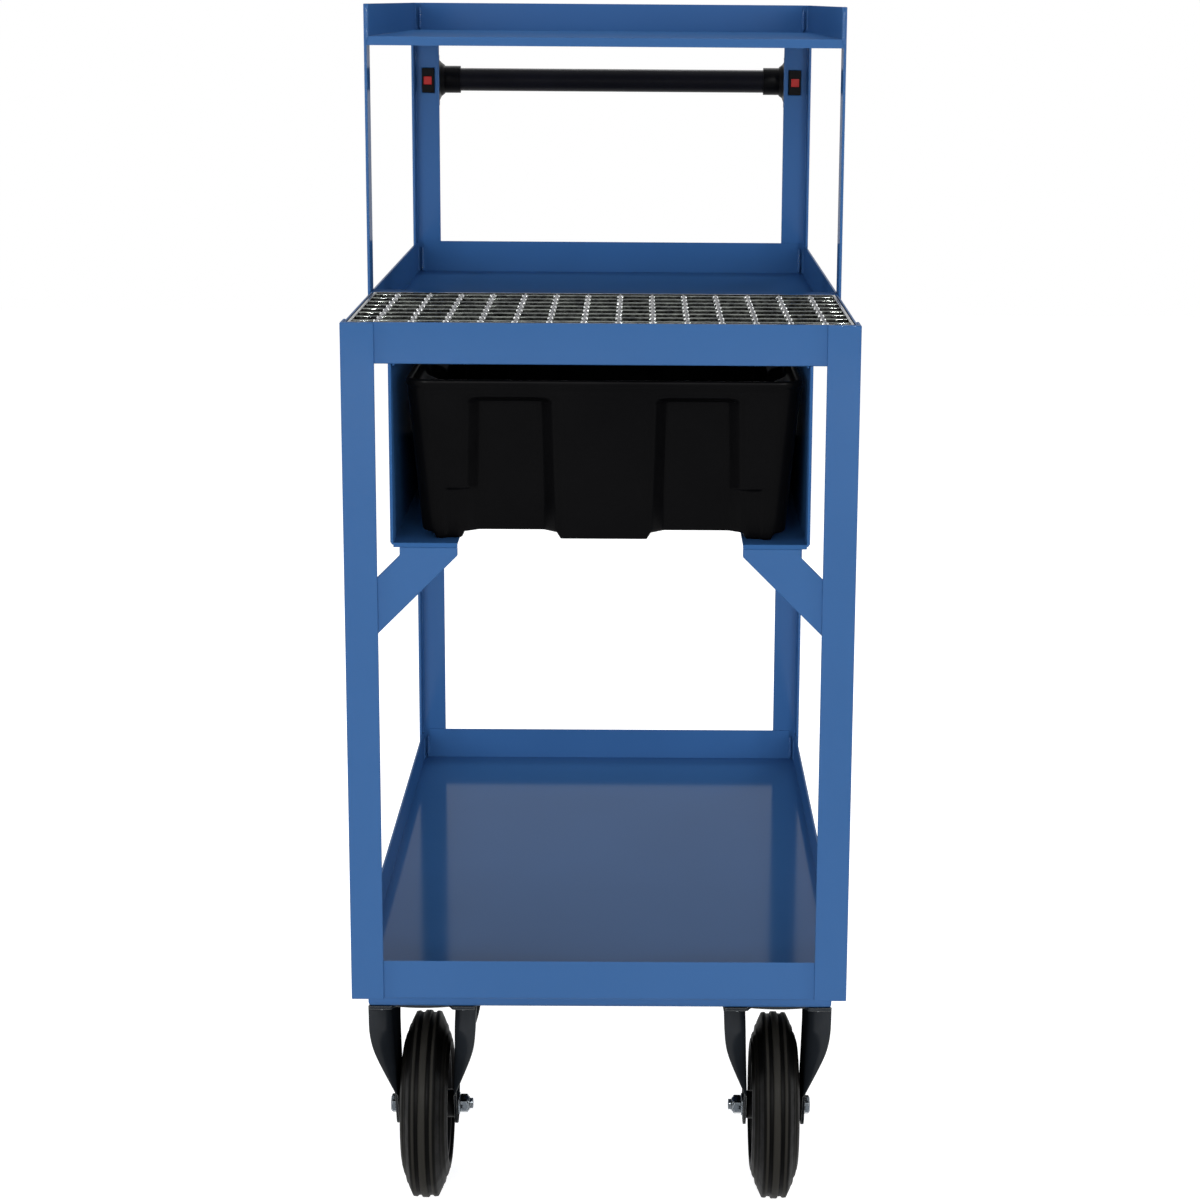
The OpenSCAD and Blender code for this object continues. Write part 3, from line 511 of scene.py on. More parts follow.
def stand(part, place, axis="z"):
    """Moves a lathe part: its Z axis goes to +Z, -Z, +X or -X, its origin to the place."""
    points, faces = part
    x, y, z = np.moveaxis(points, -1, 0)
    turned = {"z": (x, y, z), "-z": (x, -y, -z), "x": (z, y, -x), "-x": (-z, y, x)}[axis]
    return np.stack(turned, axis=-1) + np.array(place, float), faces


def round_edges(piece, width, segments=2, angle=35):
    """A Bevel modifier on the edges that are sharper than the angle, a Weighted Normal
    modifier that keeps the flat faces beside them flat in the shading, and a Triangulate
    modifier that cuts large faces without long slivers, which would show as thin lines."""
    bevel = piece.modifiers.new("round_edges", "BEVEL")
    bevel.width = width * MM
    bevel.segments = segments
    bevel.limit_method = "ANGLE"
    bevel.angle_limit = math.radians(angle)
    flat = piece.modifiers.new("flat_faces", "WEIGHTED_NORMAL")
    flat.weight = 100
    flat.keep_sharp = True
    cut = piece.modifiers.new("clean_cut", "TRIANGULATE")
    cut.quad_method = "BEAUTY"
    cut.ngon_method = "BEAUTY"
    cut.min_vertices = 5
    cut.keep_custom_normals = True


# %% [markdown]
# Most pieces of the frame are plain sections whose shape in the model is right, but real
# steel has no knife edges: paint flows over them and they catch a line of light, and a
# folded sheet has a bend with a radius. So each such node gets a copy whose loose triangles
# are merged into clean faces. A first bevel, steered by edge weights, gives the folds their
# bend, and a second one rounds every edge that is still sharp. The trays' corners are cut
# out 2 mm deep for folding, so the bends of 1.5 mm end before a cut-out begins: a bend that
# ends level with it would let the flat face beside it cross itself.

# %% Rounded copies of the model's nodes
# Each table goes by the start of the node's name. The first has the width of the rounding.
EDGE = {
    "post": 0.9, "upright": 0.8, "rail": 0.8, "runner": 0.5, "brace": 0.9, "beam": 0.8,
    "shelf": 0.5, "handle": 0.9, "locking": 0.6, "caster": 0.5,
    "kingpins": 0.5, "swivel": 0.9, "fork": 0.9, "brake": 0.9, "grating_band": 0.5,
    "grating_bars": 0.9, "front_bearing": 0.4, "rear_bearing": 0.4,
}
# Distances of a runner's foot, sheet and lip from the middle, in the model and as dressed
RUNNER_X = (0, 190, 199.2, 201.2, 206.2)
DRESSED_X = (0, 190, 201.7, 203.7, 204.6)
# Height of the outer corner of the folds, their planes (none: both ends of the section),
# bend radius and sheet thickness
FOLDS = {
    "shelf_lower": (268, [("x", 247), ("y", -480), ("y", 414)], 1.5, 2.0),
    "shelf_middle": (913, [("x", 247), ("y", -182), ("y", 414)], 1.5, 2.0),
    "shelf_upper": (1215, [("x", 247), ("y", 414)], 1.5, 2.0),
    "rail_front": (913, [("y", -480)], 1.5, 2.0),
    "runner": (736, [("x", DRESSED_X[3])], 1.5, 2.0),
    "beam": (235, [("y", None)], 5.0, 3.0),
}
INNER_BEND = 0.3
ON_LINE = 0.05
# Finishes other than the slot's: a painted-shade copy of the paint on the runners and cross
# rails, and darker copies of zinc on the grating band, forks and swivel plates, whose dark
# colour is a painted dark reflection
LOOKS = {
    "grating_band": "rod_zinc", "runner": "inner_paint", "rail_cross": "inner_paint",
    "fork": "dark_plate", "swivel_plate": "dark_plate",
}


def by_start(table, node):
    """The entry whose key is the longest start of the node's name, or None."""
    keys = [k for k in table if node.startswith(k)]
    return table[max(keys, key=len)] if keys else None


def point_places(mesh):
    """The places of a mesh's points in millimetres, one row for each."""
    place = np.zeros(len(mesh.vertices) * 3)
    mesh.vertices.foreach_get("co", place)
    return place.reshape(-1, 3) / MM


def mark_folds(mesh, fold):
    """Gives weight 1 to edges on the fold lines, and a smaller one inside the bend."""
    height, planes, radius, sheet = fold
    ends = np.zeros(len(mesh.edges) * 2, int)
    mesh.edges.foreach_get("vertices", ends)
    ends = point_places(mesh)[ends.reshape(-1, 2)]
    up = ends[..., 2] - height
    weight = np.zeros(len(mesh.edges), np.float32)
    for axis, plane in planes:
        at = ends[..., "xyz".index(axis)]
        if plane is None:
            off = np.minimum(np.abs(at - at.min()), np.abs(at - at.max()))
        else:
            off = np.abs((np.abs(at) if axis == "x" else at) - plane)
        outside = (off < ON_LINE) & (np.abs(up) < ON_LINE)
        inside = (np.abs(off - sheet) < ON_LINE) & (np.abs(up - sheet) < ON_LINE)
        weight[outside.all(axis=1)] = 1
        weight[inside.all(axis=1)] = max(INNER_BEND, 1 - sheet / radius)
    mark = mesh.attributes.new("bevel_weight_edge", "FLOAT", "EDGE")
    mark.data.foreach_set("value", weight)


def slim_lip(mesh):
    """Moves a runner's upright sheet a little outwards, so that the lip at its front end
    shows only the sheet's own thickness: each distance from the middle goes to a new one."""
    place = point_places(mesh)
    off = np.interp(np.abs(place[:, 0]), RUNNER_X, DRESSED_X)
    place[:, 0] = np.sign(place[:, 0]) * off
    mesh.vertices.foreach_set("co", (place * MM).ravel())


def rounded_copy(node):
    """A copy of a node with merged points, flat regions joined and its edges rounded."""
    work = bmesh.new()
    work.from_mesh(frame["nodes"][node].data)
    bmesh.ops.remove_doubles(work, verts=work.verts, dist=1e-6)
    bmesh.ops.dissolve_limit(
        work, angle_limit=math.radians(0.3), verts=work.verts, edges=work.edges)
    mesh = bpy.data.meshes.new(node + "_rounded")
    work.to_mesh(mesh)
    work.free()
    if node.startswith("runner"):
        slim_lip(mesh)
    for extra in ("custom_normal", "UVMap"):
        if extra in mesh.attributes:
            mesh.attributes.remove(mesh.attributes[extra])
    mesh.materials.append(FINISHES[by_start(LOOKS, node) or slot_of[node]])
    mesh.shade_smooth()
    mesh.set_sharp_from_angle(angle=math.radians(35))
    piece = new_object(node + "_rounded", mesh)
    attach(piece, body_of[node])
    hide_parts(node)
    fold = by_start(FOLDS, node)
    if fold:
        mark_folds(mesh, fold)
        bend = piece.modifiers.new("bend", "BEVEL")
        bend.width = fold[2] * MM
        bend.segments = 4
        bend.limit_method = "WEIGHT"
    round_edges(piece, by_start(EDGE, node))


MADE_BY_HAND = {n for n in slot_of if n.startswith((
    "sump_tray", "grating_rods", "housing", "front_axle", "rear_axle", "front_rim",
    "rear_rim", "front_tyre", "rear_tyre", "caster_bolts", "caster_nuts"))}
for node in sorted(set(slot_of) - MADE_BY_HAND):
    rounded_copy(node)
print("rounded copies:", len(slot_of) - len(MADE_BY_HAND))

# %% [markdown]
# The sump tray is moulded in one piece: a shell with leaning walls and a rolled rim, long
# recesses that stiffen the walls, and three feet. It could be carved from a block with
# booleans, but then every edge would be sharp. Here it is one surface instead. Stations run
# round a rectangle with round corners, rows run from the feet up the outside, over the rim
# and down the inside, and each recess is a smooth hill of depth that pulls the wall inwards.
# Two sheets, one under the tray and one inside it, span from the front row to the rear row.

# %% Sump tray: stations and recesses
TRAY_W, TRAY_L, TRAY_H, TRAY_T = 390.0, 598.0, 158.5, 4.0
RIM, SKIRT, LEAN, FOOT_H, CORNER = 4.0, 8.0, 12.0, 6.0, 20.0
WALL_TOP = TRAY_H - SKIRT
FLOOR_TOP, FLOOR_ROUND, BOTTOM_ROUND = 10, 4, 3.0
FOOT_X, FOOT_W, MIDDLE_FOOT_W = 152.2, 26.0, 87.0
# Recesses as (middle, half width); their flanks have a soft start, then a steep run
PANEL_DEPTH, PANEL_TOP = 16.0, 139.5
END_PANELS = [(-91.0, 28.5), (91.0, 28.5)]
SIDE_PANELS = [(-175.9, 47.0), (0.0, 47.0), (175.9, 47.0)]
FLANK, LEAD, TOP_FLANK, TOP_LEAD, TOP_RISE = 13.0, 9.0, 5.0, 5.0, 6.5
END_FLARE, SIDE_FLARE = 3.5, 2.0
STEP_INNER, STEP_OUTER, STEP_TOP = (100, 112), 157.0, 50.0
tray_low, tray_high = (v / MM for v in node_box("sump_tray"))
tray_middle = (tray_low + tray_high) / 2
TRAY_PLACE = np.array([tray_middle[0], tray_middle[1], tray_low[2]])


def stations(half_w, half_l, end_step=2.2, side_step=6.0, corner_steps=12):
    """Unit places round a rectangle with round corners, counterclockwise from the front left:
    the point on the inner rectangle, the outward direction, and which wall it is on
    (0 front, 1 right, 2 rear, 3 left, -1 corner)."""
    ends = np.linspace(-1, 1, int(2 * half_w / end_step))
    sides = np.linspace(-1, 1, int(2 * half_l / side_step))
    bend = np.linspace(0, np.pi / 2, corner_steps)[1:-1]
    base, out, wall = [], [], []
    for k, line in enumerate((ends, sides, ends, sides)):
        turn = k * np.pi / 2
        along = np.array([np.cos(turn), np.sin(turn)])
        outward = np.array([np.sin(turn), -np.cos(turn)])
        base.append(line[:, None] * along + outward)
        out.append(np.repeat(outward[None], len(line), axis=0))
        wall.append(np.full(len(line), k))
        base.append(np.repeat((along + outward)[None], len(bend), axis=0))
        out.append(np.cos(bend)[:, None] * outward + np.sin(bend)[:, None] * along)
        wall.append(np.full(len(bend), -1))
    return np.concatenate(base), np.concatenate(out), np.concatenate(wall)


base, outward, wall = stations(TRAY_W / 2 - CORNER, TRAY_L / 2 - CORNER)
END = (wall == 0) | (wall == 2)
SIDE = (wall == 1) | (wall == 3)


def pressed_edge(distance, lead, run):
    """Share of the full depth at a distance (mm) behind the start of a moulded edge: a
    soft start of 0.12 (d / lead)^2, then a straight flank over the run. The mean of three
    such lines, 0.8 mm apart, softens the corners between them."""
    share = 0
    for shift in (-0.8, 0.0, 0.8):
        d = distance + shift
        start = 0.12 * np.clip(d / lead, 0, 1) ** 2
        share = share + start + 0.88 * np.clip((d - lead) / run, 0, 1)
    return share / 3


def panel_depth(along, height, panels, flare):
    """Depth of the recesses: full depth inside each panel's half width and none beyond its
    slanted flank. Both grow by the flare towards the bottom, and the top edge is slanted."""
    depth = np.zeros(np.broadcast(along, height).shape)
    for centre, half in panels:
        wider = flare * (1 - height / PANEL_TOP)
        inside = half + FLANK + LEAD + wider - np.abs(along - centre)
        depth = np.maximum(depth, pressed_edge(inside, LEAD, FLANK))
    from_top = PANEL_TOP + TOP_RISE - height
    return PANEL_DEPTH * depth * pressed_edge(from_top, TOP_LEAD, TOP_FLANK)


def step_depth(along, height):
    """Depth of the steps at the foot of the outer pillars, level at their top."""
    off = np.abs(along)
    inner = smooth_step(off, *STEP_INNER)
    outer = smooth_step(STEP_OUTER - off, 0, 4)
    return TRAY_T * inner * outer * smooth_step(STEP_TOP - height, -1.3, 1.3)


def foot_height(x):
    """Height of the underside at a distance from the middle: 0 on a foot, FOOT_H beside."""
    outer = smooth_step(np.abs(np.abs(x) - FOOT_X), FOOT_W / 2 - 0.5, FOOT_W / 2 + 2)
    middle = smooth_step(np.abs(x), MIDDLE_FOOT_W / 2 - 0.5, MIDDLE_FOOT_W / 2 + 2)
    return FOOT_H * np.minimum(outer, middle)


def tray_ring(height, out=0.0, recess=1.0):
    """One row of the wall at the given height (a number or one per station), moved out by
    the given distance; recess is the share of the panels' depth that it has."""
    height = np.broadcast_to(np.asarray(height, float), wall.shape)
    lean = LEAN * np.clip((WALL_TOP - height) / (WALL_TOP - FOOT_H), 0, 1)
    half = np.array([TRAY_W / 2, TRAY_L / 2]) - RIM - lean[:, None]
    place = base * (half - CORNER) + CORNER * outward
    along = np.where(END, place[:, 0], place[:, 1])
    ends = panel_depth(along, height, END_PANELS, END_FLARE)
    ends = ends + step_depth(along, height) * (1 - ends / PANEL_DEPTH)
    sides = panel_depth(along, height, SIDE_PANELS, SIDE_FLARE)
    depth = recess * np.where(END, ends, np.where(SIDE, sides, 0))
    place = place + (out - depth[:, None]) * outward
    return np.column_stack([place, height])


print("tray:", len(wall), "stations, centre at", TRAY_PLACE.round(1))

# %% Sump tray: the shell
# Heights of the rows, closest where the shape turns: up the outside and down the inside
OUTSIDE = np.concatenate([np.arange(18, 41, 5.5), np.arange(42, 56, 1.6),
                          np.arange(60, 130, 7.5), np.arange(131, 148, 1.0), [WALL_TOP]])
INSIDE = np.concatenate([[WALL_TOP], np.arange(145, 131, -2.5), np.arange(128, 60, -9.0),
                         np.arange(57, 40, -2.4), np.arange(36, 20, -5.0), [17, 14]])
FIRST_ROW = 13
# The rolled rim as (distance outwards, height)
RIM_LINE = [(0.5, WALL_TOP + 0.8), (1.3, WALL_TOP + 1.8), (1.8, WALL_TOP + 3.2),
            (1.9, TRAY_H - 2.6), (1.5, TRAY_H - 1.2), (0.6, TRAY_H - 0.3), (-0.4, TRAY_H),
            (-2.0, TRAY_H), (-3.1, TRAY_H - 0.4), (-3.8, TRAY_H - 1.4), (-4.0, TRAY_H - 2.8)]

foot_ring = foot_height(tray_ring(FOOT_H)[:, 0])
rows = []
for angle in np.linspace(0, np.pi / 2, 5):
    height = foot_ring + BOTTOM_ROUND * (1 - math.cos(angle))
    rows.append(tray_ring(height, -BOTTOM_ROUND * (1 - math.sin(angle))))
start = rows[-1][:, 2]
rows += [tray_ring(start + (FIRST_ROW - start) * share) for share in (0.5, 1.0)]
rows += [tray_ring(height) for height in OUTSIDE]
rows += [tray_ring(height, out, 0) for out, height in RIM_LINE]
rows += [tray_ring(height, -TRAY_T) for height in INSIDE]
for angle in np.linspace(0, np.pi / 2, 4)[1:]:
    rows.append(tray_ring(FLOOR_TOP + FLOOR_ROUND * (1 - math.sin(angle)),
                          -TRAY_T - FLOOR_ROUND * (1 - math.cos(angle))))
shell = np.array(rows)


def sheet_between(ring, shape=None):
    """A sheet from the front of a ring to its rear, at the heights of the shape, if given.
    Each column joins a front station to the rear station opposite; columns near the sides
    shift to follow the side walls."""
    count = len(wall)
    ends = int((wall == 0).sum())
    sides = int((wall == 1).sum())
    bend = (count - 2 * ends - 2 * sides) // 4
    front = np.arange(-bend, ends + bend) % count
    rear = (2 * ends + bend * 2 + sides - 1 + bend - np.arange(ends + 2 * bend)) % count
    right = ends + bend + np.arange(sides)
    left = (count - bend - 1 - np.arange(sides)) % count
    share = np.linspace(0, 1, sides)[:, None]
    sheet = ring[front][None] * (1 - share[..., None]) + ring[rear][None] * share[..., None]
    edge = ring[front[-1], 0]
    keep = FOOT_X - FOOT_W
    x = sheet[..., 0]
    reach = np.where(x > 0, ring[right, 0][:, None], -ring[left, 0][:, None])
    outer = smooth_step(share, 0, 0.04) * smooth_step(1 - share, 0, 0.04)
    moved = keep + (np.abs(x) - keep) * (reach - keep) / (edge - keep)
    moved = np.sign(x) * np.where(np.abs(x) > keep, moved, np.abs(x))
    sheet[..., 0] = x + (moved - x) * outer
    if shape is not None:
        sheet[..., 2] = shape(sheet[..., 0])
    return sheet, grid_quads(sheet.shape[0], sheet.shape[1])


under = sheet_between(shell[0], shape=foot_height)
inside = sheet_between(shell[-1])
tray_parts = [(shell + TRAY_PLACE, grid_quads(len(shell), len(wall), close_columns=True)),
              (under[0] + TRAY_PLACE, under[1]), (inside[0] + TRAY_PLACE, inside[1])]
add_piece("sump_tray_moulding", tray_parts, "sump_tray", "black_tray", ["sump_tray"],
          sharp=60)
print("sump tray:", sum(len(f) for _, f in tray_parts), "faces")

# %% [markdown]
# The grating is bought in. Square rods are twisted along their length and forged into the
# bars, then the whole panel is dipped in hot zinc, which leaves a drop in the corners of each
# crossing. The drops are coloured near white, painted glints on bright zinc, and the rods a
# darker zinc, a painted dark reflection. A twisted rod is a square whose corners turn as it
# runs along Y.

# %% Grating rods and zinc drops
MESH, ROD_HALF, RODS, BARS, BAR_T = 33.3, 2.05, 14, 8, 2.5
CORNER_SHARE = 1.3
DROP_SIZE, DROP_SINK = np.array([1.25, 2.6, 1.7]), 1.6
grating_low, grating_high = (v / MM for v in node_box("grating_band"))
bars_low = node_box("grating_bars")[0] / MM
GRATING_TOP = grating_high[2]
BAR_Y = bars_low[1] + BAR_T / 2 + MESH * np.arange(BARS)
ROD_X = (np.arange(RODS) - (RODS - 1) / 2) * MESH


def twisted_rod(x, turn_start):
    """A square of rounded corners carried along Y and turned half round per mesh: each
    point is at radius r(a) = half / cos(a mod 90 - 45), softened, at angle a + turn."""
    y = np.linspace(grating_low[1] + 2, grating_high[1] - 2, 150)
    angle = np.linspace(0, 2 * np.pi, 16, endpoint=False)
    side = np.mod(angle, np.pi / 2) - np.pi / 4
    radius = np.minimum(ROD_HALF / np.cos(side), ROD_HALF * CORNER_SHARE)
    turn = np.pi * y / MESH + turn_start
    theta = angle[None] + turn[:, None]
    points = np.stack([x + radius * np.cos(theta), np.repeat(y[:, None], 16, axis=1),
                       GRATING_TOP - ROD_HALF * CORNER_SHARE + radius * np.sin(theta)],
                      axis=-1)
    return points, grid_quads(len(y), 16, close_columns=True)


chance = np.random.default_rng(7)
rod_parts = [twisted_rod(x, chance.uniform(0, np.pi)) for x in ROD_X]
angle = np.linspace(-np.pi / 2, np.pi / 2, 6)
points, faces = lathe(np.column_stack([np.cos(angle), np.sin(angle)]), 8)
drops = []
for x in ROD_X:
    for y in BAR_Y:
        for side in SIDES.values():
            size = DROP_SIZE * chance.uniform(0.85, 1.15, 3)
            place = (x + side * chance.uniform(1.7, 2.2), y + chance.uniform(-2.6, -1.6),
                     GRATING_TOP - DROP_SINK + chance.uniform(-0.2, 0.2))
            drops.append((points * size + np.array(place), faces))
# The rods take the darker zinc, a painted dark reflection, and the drops a near-white colour,
# painted glints
add_piece("grating_rods_twisted", rod_parts, "grating", "galvanised", ["grating_rods"],
          look="rod_zinc", sharp=35)
add_piece("grating_zinc_drops", drops, "grating", "galvanised", look="drop_zinc_painted_glint", sharp=80)
print("grating:", len(rod_parts), "rods and", len(drops), "drops of zinc")

# %% [markdown]
# A wheel is a turned shape. The tyre is solid rubber with a crown of three raised ribs and
# stepped shoulders; the moulding line of the crown ribs is rubbed lighter where it rolls.
# A number stored with each point, called mark, says how worn it is, and the finish reads it.

# %% Tyres and rims
WHEEL_R, CASTER_X, FRONT_Y, REAR_Y, PIN_Y = 99.0, 185.0, -347.0, 335.0, 281.0
TYRE_COLUMNS, RIM_COLUMNS = 144, 96


def tyre_profile():
    """The tyre's section as distance from the middle, radius and wear."""
    r = WHEEL_R
    half = np.array([
        (0.0, r, 1), (2.8, r, 1), (3.4, r - 0.5, 0.7), (4.2, r - 2.2, 0), (7.6, r - 2.4, 0),
        (8.6, r - 1.2, 0.9), (9.3, r - 0.8, 1), (10.6, r - 0.8, 0.8), (11.2, r - 0.9, 0.1),
        (12.9, r - 1.2, 0), (14.2, r - 4.0, 0), (16.8, r - 9.5, 0), (18.3, r - 13.5, 0),
        (19.4, r - 14.6, 0.2), (20.4, r - 21.3, 0.1), (21.9, r - 22.3, 0.3),
        (22.8, r - 24.2, 0.1), (23.2, r - 26.5, 0), (23.7, r - 28, 0.1),
        (24.4, r - 29.5, 0.1), (24.9, r - 32, 0), (25.0, r - 34.5, 0), (24.6, r - 35.6, 0),
        (22.0, r - 36.8, 0)])
    mirrored = half[:0:-1] * np.array([-1, 1, 1])
    return np.concatenate([mirrored, half])


def rim_profile():
    """The rim's section: seat for the tyre, dished flank, hub, and back along the bore."""
    side = np.array([
        (21.0, 62), (21.5, 61.4), (21.5, 57.2), (20.7, 56.2), (9.0, 52.4), (7.0, 50.8),
        (6.2, 48.5), (6.4, 44), (9.4, 17.5), (10.2, 16.2), (12, 15.3), (28.3, 14.8),
        (29.0, 14.1), (29.0, 11.0), (28.2, 10.1)])
    return np.concatenate([side, side[::-1] * np.array([-1, 1])])


def turned_wheel(profile, columns):
    """A closed section (distance along the axle, radius) turned round the X axis."""
    angle = np.linspace(0, 2 * np.pi, columns, endpoint=False)
    x, r = profile[:, 0, None], profile[:, 1, None]
    points = np.stack([np.repeat(x, columns, axis=1), r * np.cos(angle),
                       r * np.sin(angle)], axis=-1)
    return points, grid_quads(len(profile), columns, close_rows=True, close_columns=True)


tyre = tyre_profile()
for end, centre_y in (("front", FRONT_Y), ("rear", REAR_Y)):
    for side, sign in SIDES.items():
        place = np.array([sign * CASTER_X, centre_y, WHEEL_R])
        points, faces = turned_wheel(tyre, TYRE_COLUMNS)
        add_piece(f"{end}_tyre_{side}_ribbed", [(points + place, faces)],
                  f"{end}_wheel_{side}", "tyre_rubber", [f"{end}_tyre_{side}"],
                  marks=np.repeat(tyre[:, 2], TYRE_COLUMNS), sharp=60)
        points, faces = turned_wheel(rim_profile(), RIM_COLUMNS)
        add_piece(f"{end}_rim_{side}_turned", [(points + place, faces)],
                  f"{end}_wheel_{side}", "black_rim", [f"{end}_rim_{side}"], sharp=45)
print("four wheels, tyre section of", len(tyre), "points")

# %% [markdown]
# The housing of a fixed caster is pressed from one sheet. Each leg leans out a little, and
# its long edges turn outwards in a wide bend to flanges that run out above the axle. A leg
# is lofted: at each height a section goes along the front flange, round its bend, across
# the leg and round to the rear flange. A Solidify modifier gives the sheet its thickness.

# %% Caster housings
LEG_X, SHEET, LEG_R, LEG_TOP, PLATE_Z, PLATE_T = 29.5, 3.0, 21.0, 64.0, 231.0, 4
# Height above the axle of the widest place of a leg, and how far it is drawn in above it
SHOULDER = PLATE_Z - 25 - WHEEL_R
DRAWN_IN, DRAWN_FROM, DRAWN_OVER = 6, 14, 39
FLANGE, BEND_R, REACH_RUN, REACH_START, REACH_SOFT = 21.5, 17.0, 88, 0.3, 0.04
# A leg leans outwards above its knee
KNEE, KNEE_SOFT, SPLAY = 25.0, 60, 4.0 / (PLATE_Z - WHEEL_R - LEG_R)
# Front caster plate: width, length, cut between the legs, and bulge of the cut
CASTER_PLATE = (110, 138, 9, 4)


def leg_half_width(h):
    """Half width of a leg at height h above the axle: a circle round the axle, then the
    tangent from it to the shoulder, then upright and drawn in towards the plate."""
    reach = math.hypot(LEG_TOP, SHOULDER)
    tangent = math.atan2(SHOULDER, LEG_TOP) - math.acos(LEG_R / reach)
    touch_y, touch_h = LEG_R * math.cos(tangent), LEG_R * math.sin(tangent)
    circle = np.sqrt(np.clip(LEG_R ** 2 - h ** 2, 0, None))
    line = touch_y + (LEG_TOP - touch_y) * (h - touch_h) / (SHOULDER - touch_h)
    drawn_in = DRAWN_IN * np.clip((h - SHOULDER + DRAWN_FROM) / DRAWN_OVER, 0, 1) ** 2
    return np.where(h < touch_h, circle, np.minimum(line, LEG_TOP) - drawn_in)


def soft_ramp(t, soft):
    """0 far below zero and t far above it, round between: (t + sqrt(t^2 + soft)) / 2."""
    return (t + np.sqrt(t ** 2 + soft)) / 2


def flange_reach(h):
    """How far a flange stands out at height h: full at the shoulder, an S curve below it."""
    u = np.clip((SHOULDER + 4 - h) / REACH_RUN, 0, 1)
    low, ramp, high = (soft_ramp(t - REACH_START, REACH_SOFT) for t in (0, u, 1))
    return FLANGE * (1 - (ramp - low) / (high - low))


def housing_leg(sign):
    """The middle sheet of one leg, as sections of 35 points on 71 heights."""
    low = -LEG_R * np.cos(np.linspace(0, np.pi / 2, 16))
    h = np.concatenate([low, np.linspace(0, PLATE_Z - WHEEL_R + 0.5, 56)[1:]])
    half, out = leg_half_width(h), flange_reach(h)
    bend = np.clip(np.minimum(BEND_R, out * 0.9), 0.02, None)
    bend = np.minimum(bend, np.clip(half, 0.02, None))
    turn = np.linspace(0, np.pi / 2, 9)
    tip = np.maximum(out, bend)
    outer_x = np.stack([tip - (tip - bend) * t for t in np.linspace(0, 1, 6)[:-1]], axis=1)
    outer_y = np.repeat(-half[:, None], 5, axis=1)
    arc_x = bend[:, None] * (1 - np.sin(turn))
    arc_y = -half[:, None] + bend[:, None] * (1 - np.cos(turn))
    x = np.concatenate([outer_x, arc_x], axis=1)
    y = np.concatenate([outer_y, arc_y], axis=1)
    middle = np.linspace(-1, 1, 9)[1:-1] * (half - bend)[:, None]
    x = np.concatenate([x, np.zeros_like(middle), x[:, ::-1]], axis=1)
    y = np.concatenate([y, middle, -y[:, ::-1]], axis=1)
    lean = SPLAY * soft_ramp(h - KNEE, KNEE_SOFT)
    x = sign * (x + LEG_X + SHEET / 2 + lean[:, None])
    z = np.repeat((h + WHEEL_R)[:, None], x.shape[1], axis=1)
    return np.stack([x, y, z], axis=-1), grid_quads(len(h), x.shape[1])


def flange_mark(points):
    """1 on a leg's flanges and the outer half of their bends, 0 on its middle sheet."""
    column = np.arange(points.shape[1])
    from_edge = np.minimum(column, points.shape[1] - 1 - column)
    return np.broadcast_to(1 - smooth_step(from_edge, 7, 11), points.shape[:2])


def caster_plate(width, length, cut, bulge):
    """A plate as two sheets and a band round them: over the legs it has its full length,
    and between them its ends are cut back and bulge a little as a parabola."""
    u, v = np.meshgrid(np.linspace(-1, 1, 57), np.linspace(-1, 1, 25), indexing="ij")
    x = u * width / 2
    between = smooth_step(LEG_X + 3 - np.abs(x), 0, 5)
    y = v * (length / 2 - between * (cut - bulge * (1 - (x / LEG_X) ** 2)))
    top = np.stack([x, y, np.full_like(x, PLATE_Z + PLATE_T)], axis=-1)
    low = np.stack([x, y, np.full_like(x, PLATE_Z)], axis=-1)

    def rim(grid):
        return np.concatenate([grid[:, 0], grid[-1, 1:], grid[-2::-1, -1], grid[0, -2:0:-1]])

    band = np.stack([rim(top), rim(low)])
    return [(top, grid_quads(*u.shape)), (low, grid_quads(*u.shape)),
            (band, grid_quads(2, band.shape[1], close_columns=True))]


for side, sign in SIDES.items():
    place = np.array([sign * CASTER_X, FRONT_Y, 0])
    legs = [(p + place, f) for p, f in (housing_leg(-1), housing_leg(1))]
    # The legs and the plate take the dark finishes, whose dark colour is a painted dark
    # reflection
    pair = add_piece(f"housing_{side}_legs", legs, "frame", "zinc_plate",
                     [f"housing_{side}"], look="leg_zinc_dark_reflection", seam=0.03, sharp=50,
                     marks=np.concatenate([flange_mark(p).ravel() for p, _ in legs]))
    wall_sheet = pair.modifiers.new("sheet", "SOLIDIFY")
    wall_sheet.thickness = SHEET * MM
    wall_sheet.offset = 0
    wall_sheet.use_even_offset = False
    round_edges(pair, 0.7)
    plate = [(p + place, f) for p, f in caster_plate(*CASTER_PLATE)]
    round_edges(add_piece(f"housing_{side}_plate", plate, "frame", "zinc_plate",
                          look="dark_plate"), 0.7)
print("two pressed housings")

# %% [markdown]
# Bolts and nuts are turned shapes too, cut by six flats. The chamfer on a hexagon is the
# same trick: the profile's radius shrinks towards the face, so the flats end in arcs.

# %% Bolts and nuts
AXLE_D, NUT_H, HEAD_H, AXLE_HEX, WASHER = 12.0, 12.2, 7.2, 18.7, 2.0
GRIP = 2 * (LEG_X + SHEET)
# The insert of a lock nut: radius as a share of the hexagon, place from the top, softness
INSERT_SHARE, INSERT_H, INSERT_SOFT = 0.41, 1.8, 0.8
CROWN = 0.8
# Bolts of the caster plates, half the distances between them, and the height of their nuts
BOLT_DX, BOLT_DY, BOLT_HEX, BOLT_R, BOLT_L = 45, 52.5, 12.5, 4, 16.6
BOLT_HEAD, BOLT_CROWN, BOLT_NUT, NUT_UP = 4.7, 0.5, 6.4, 7


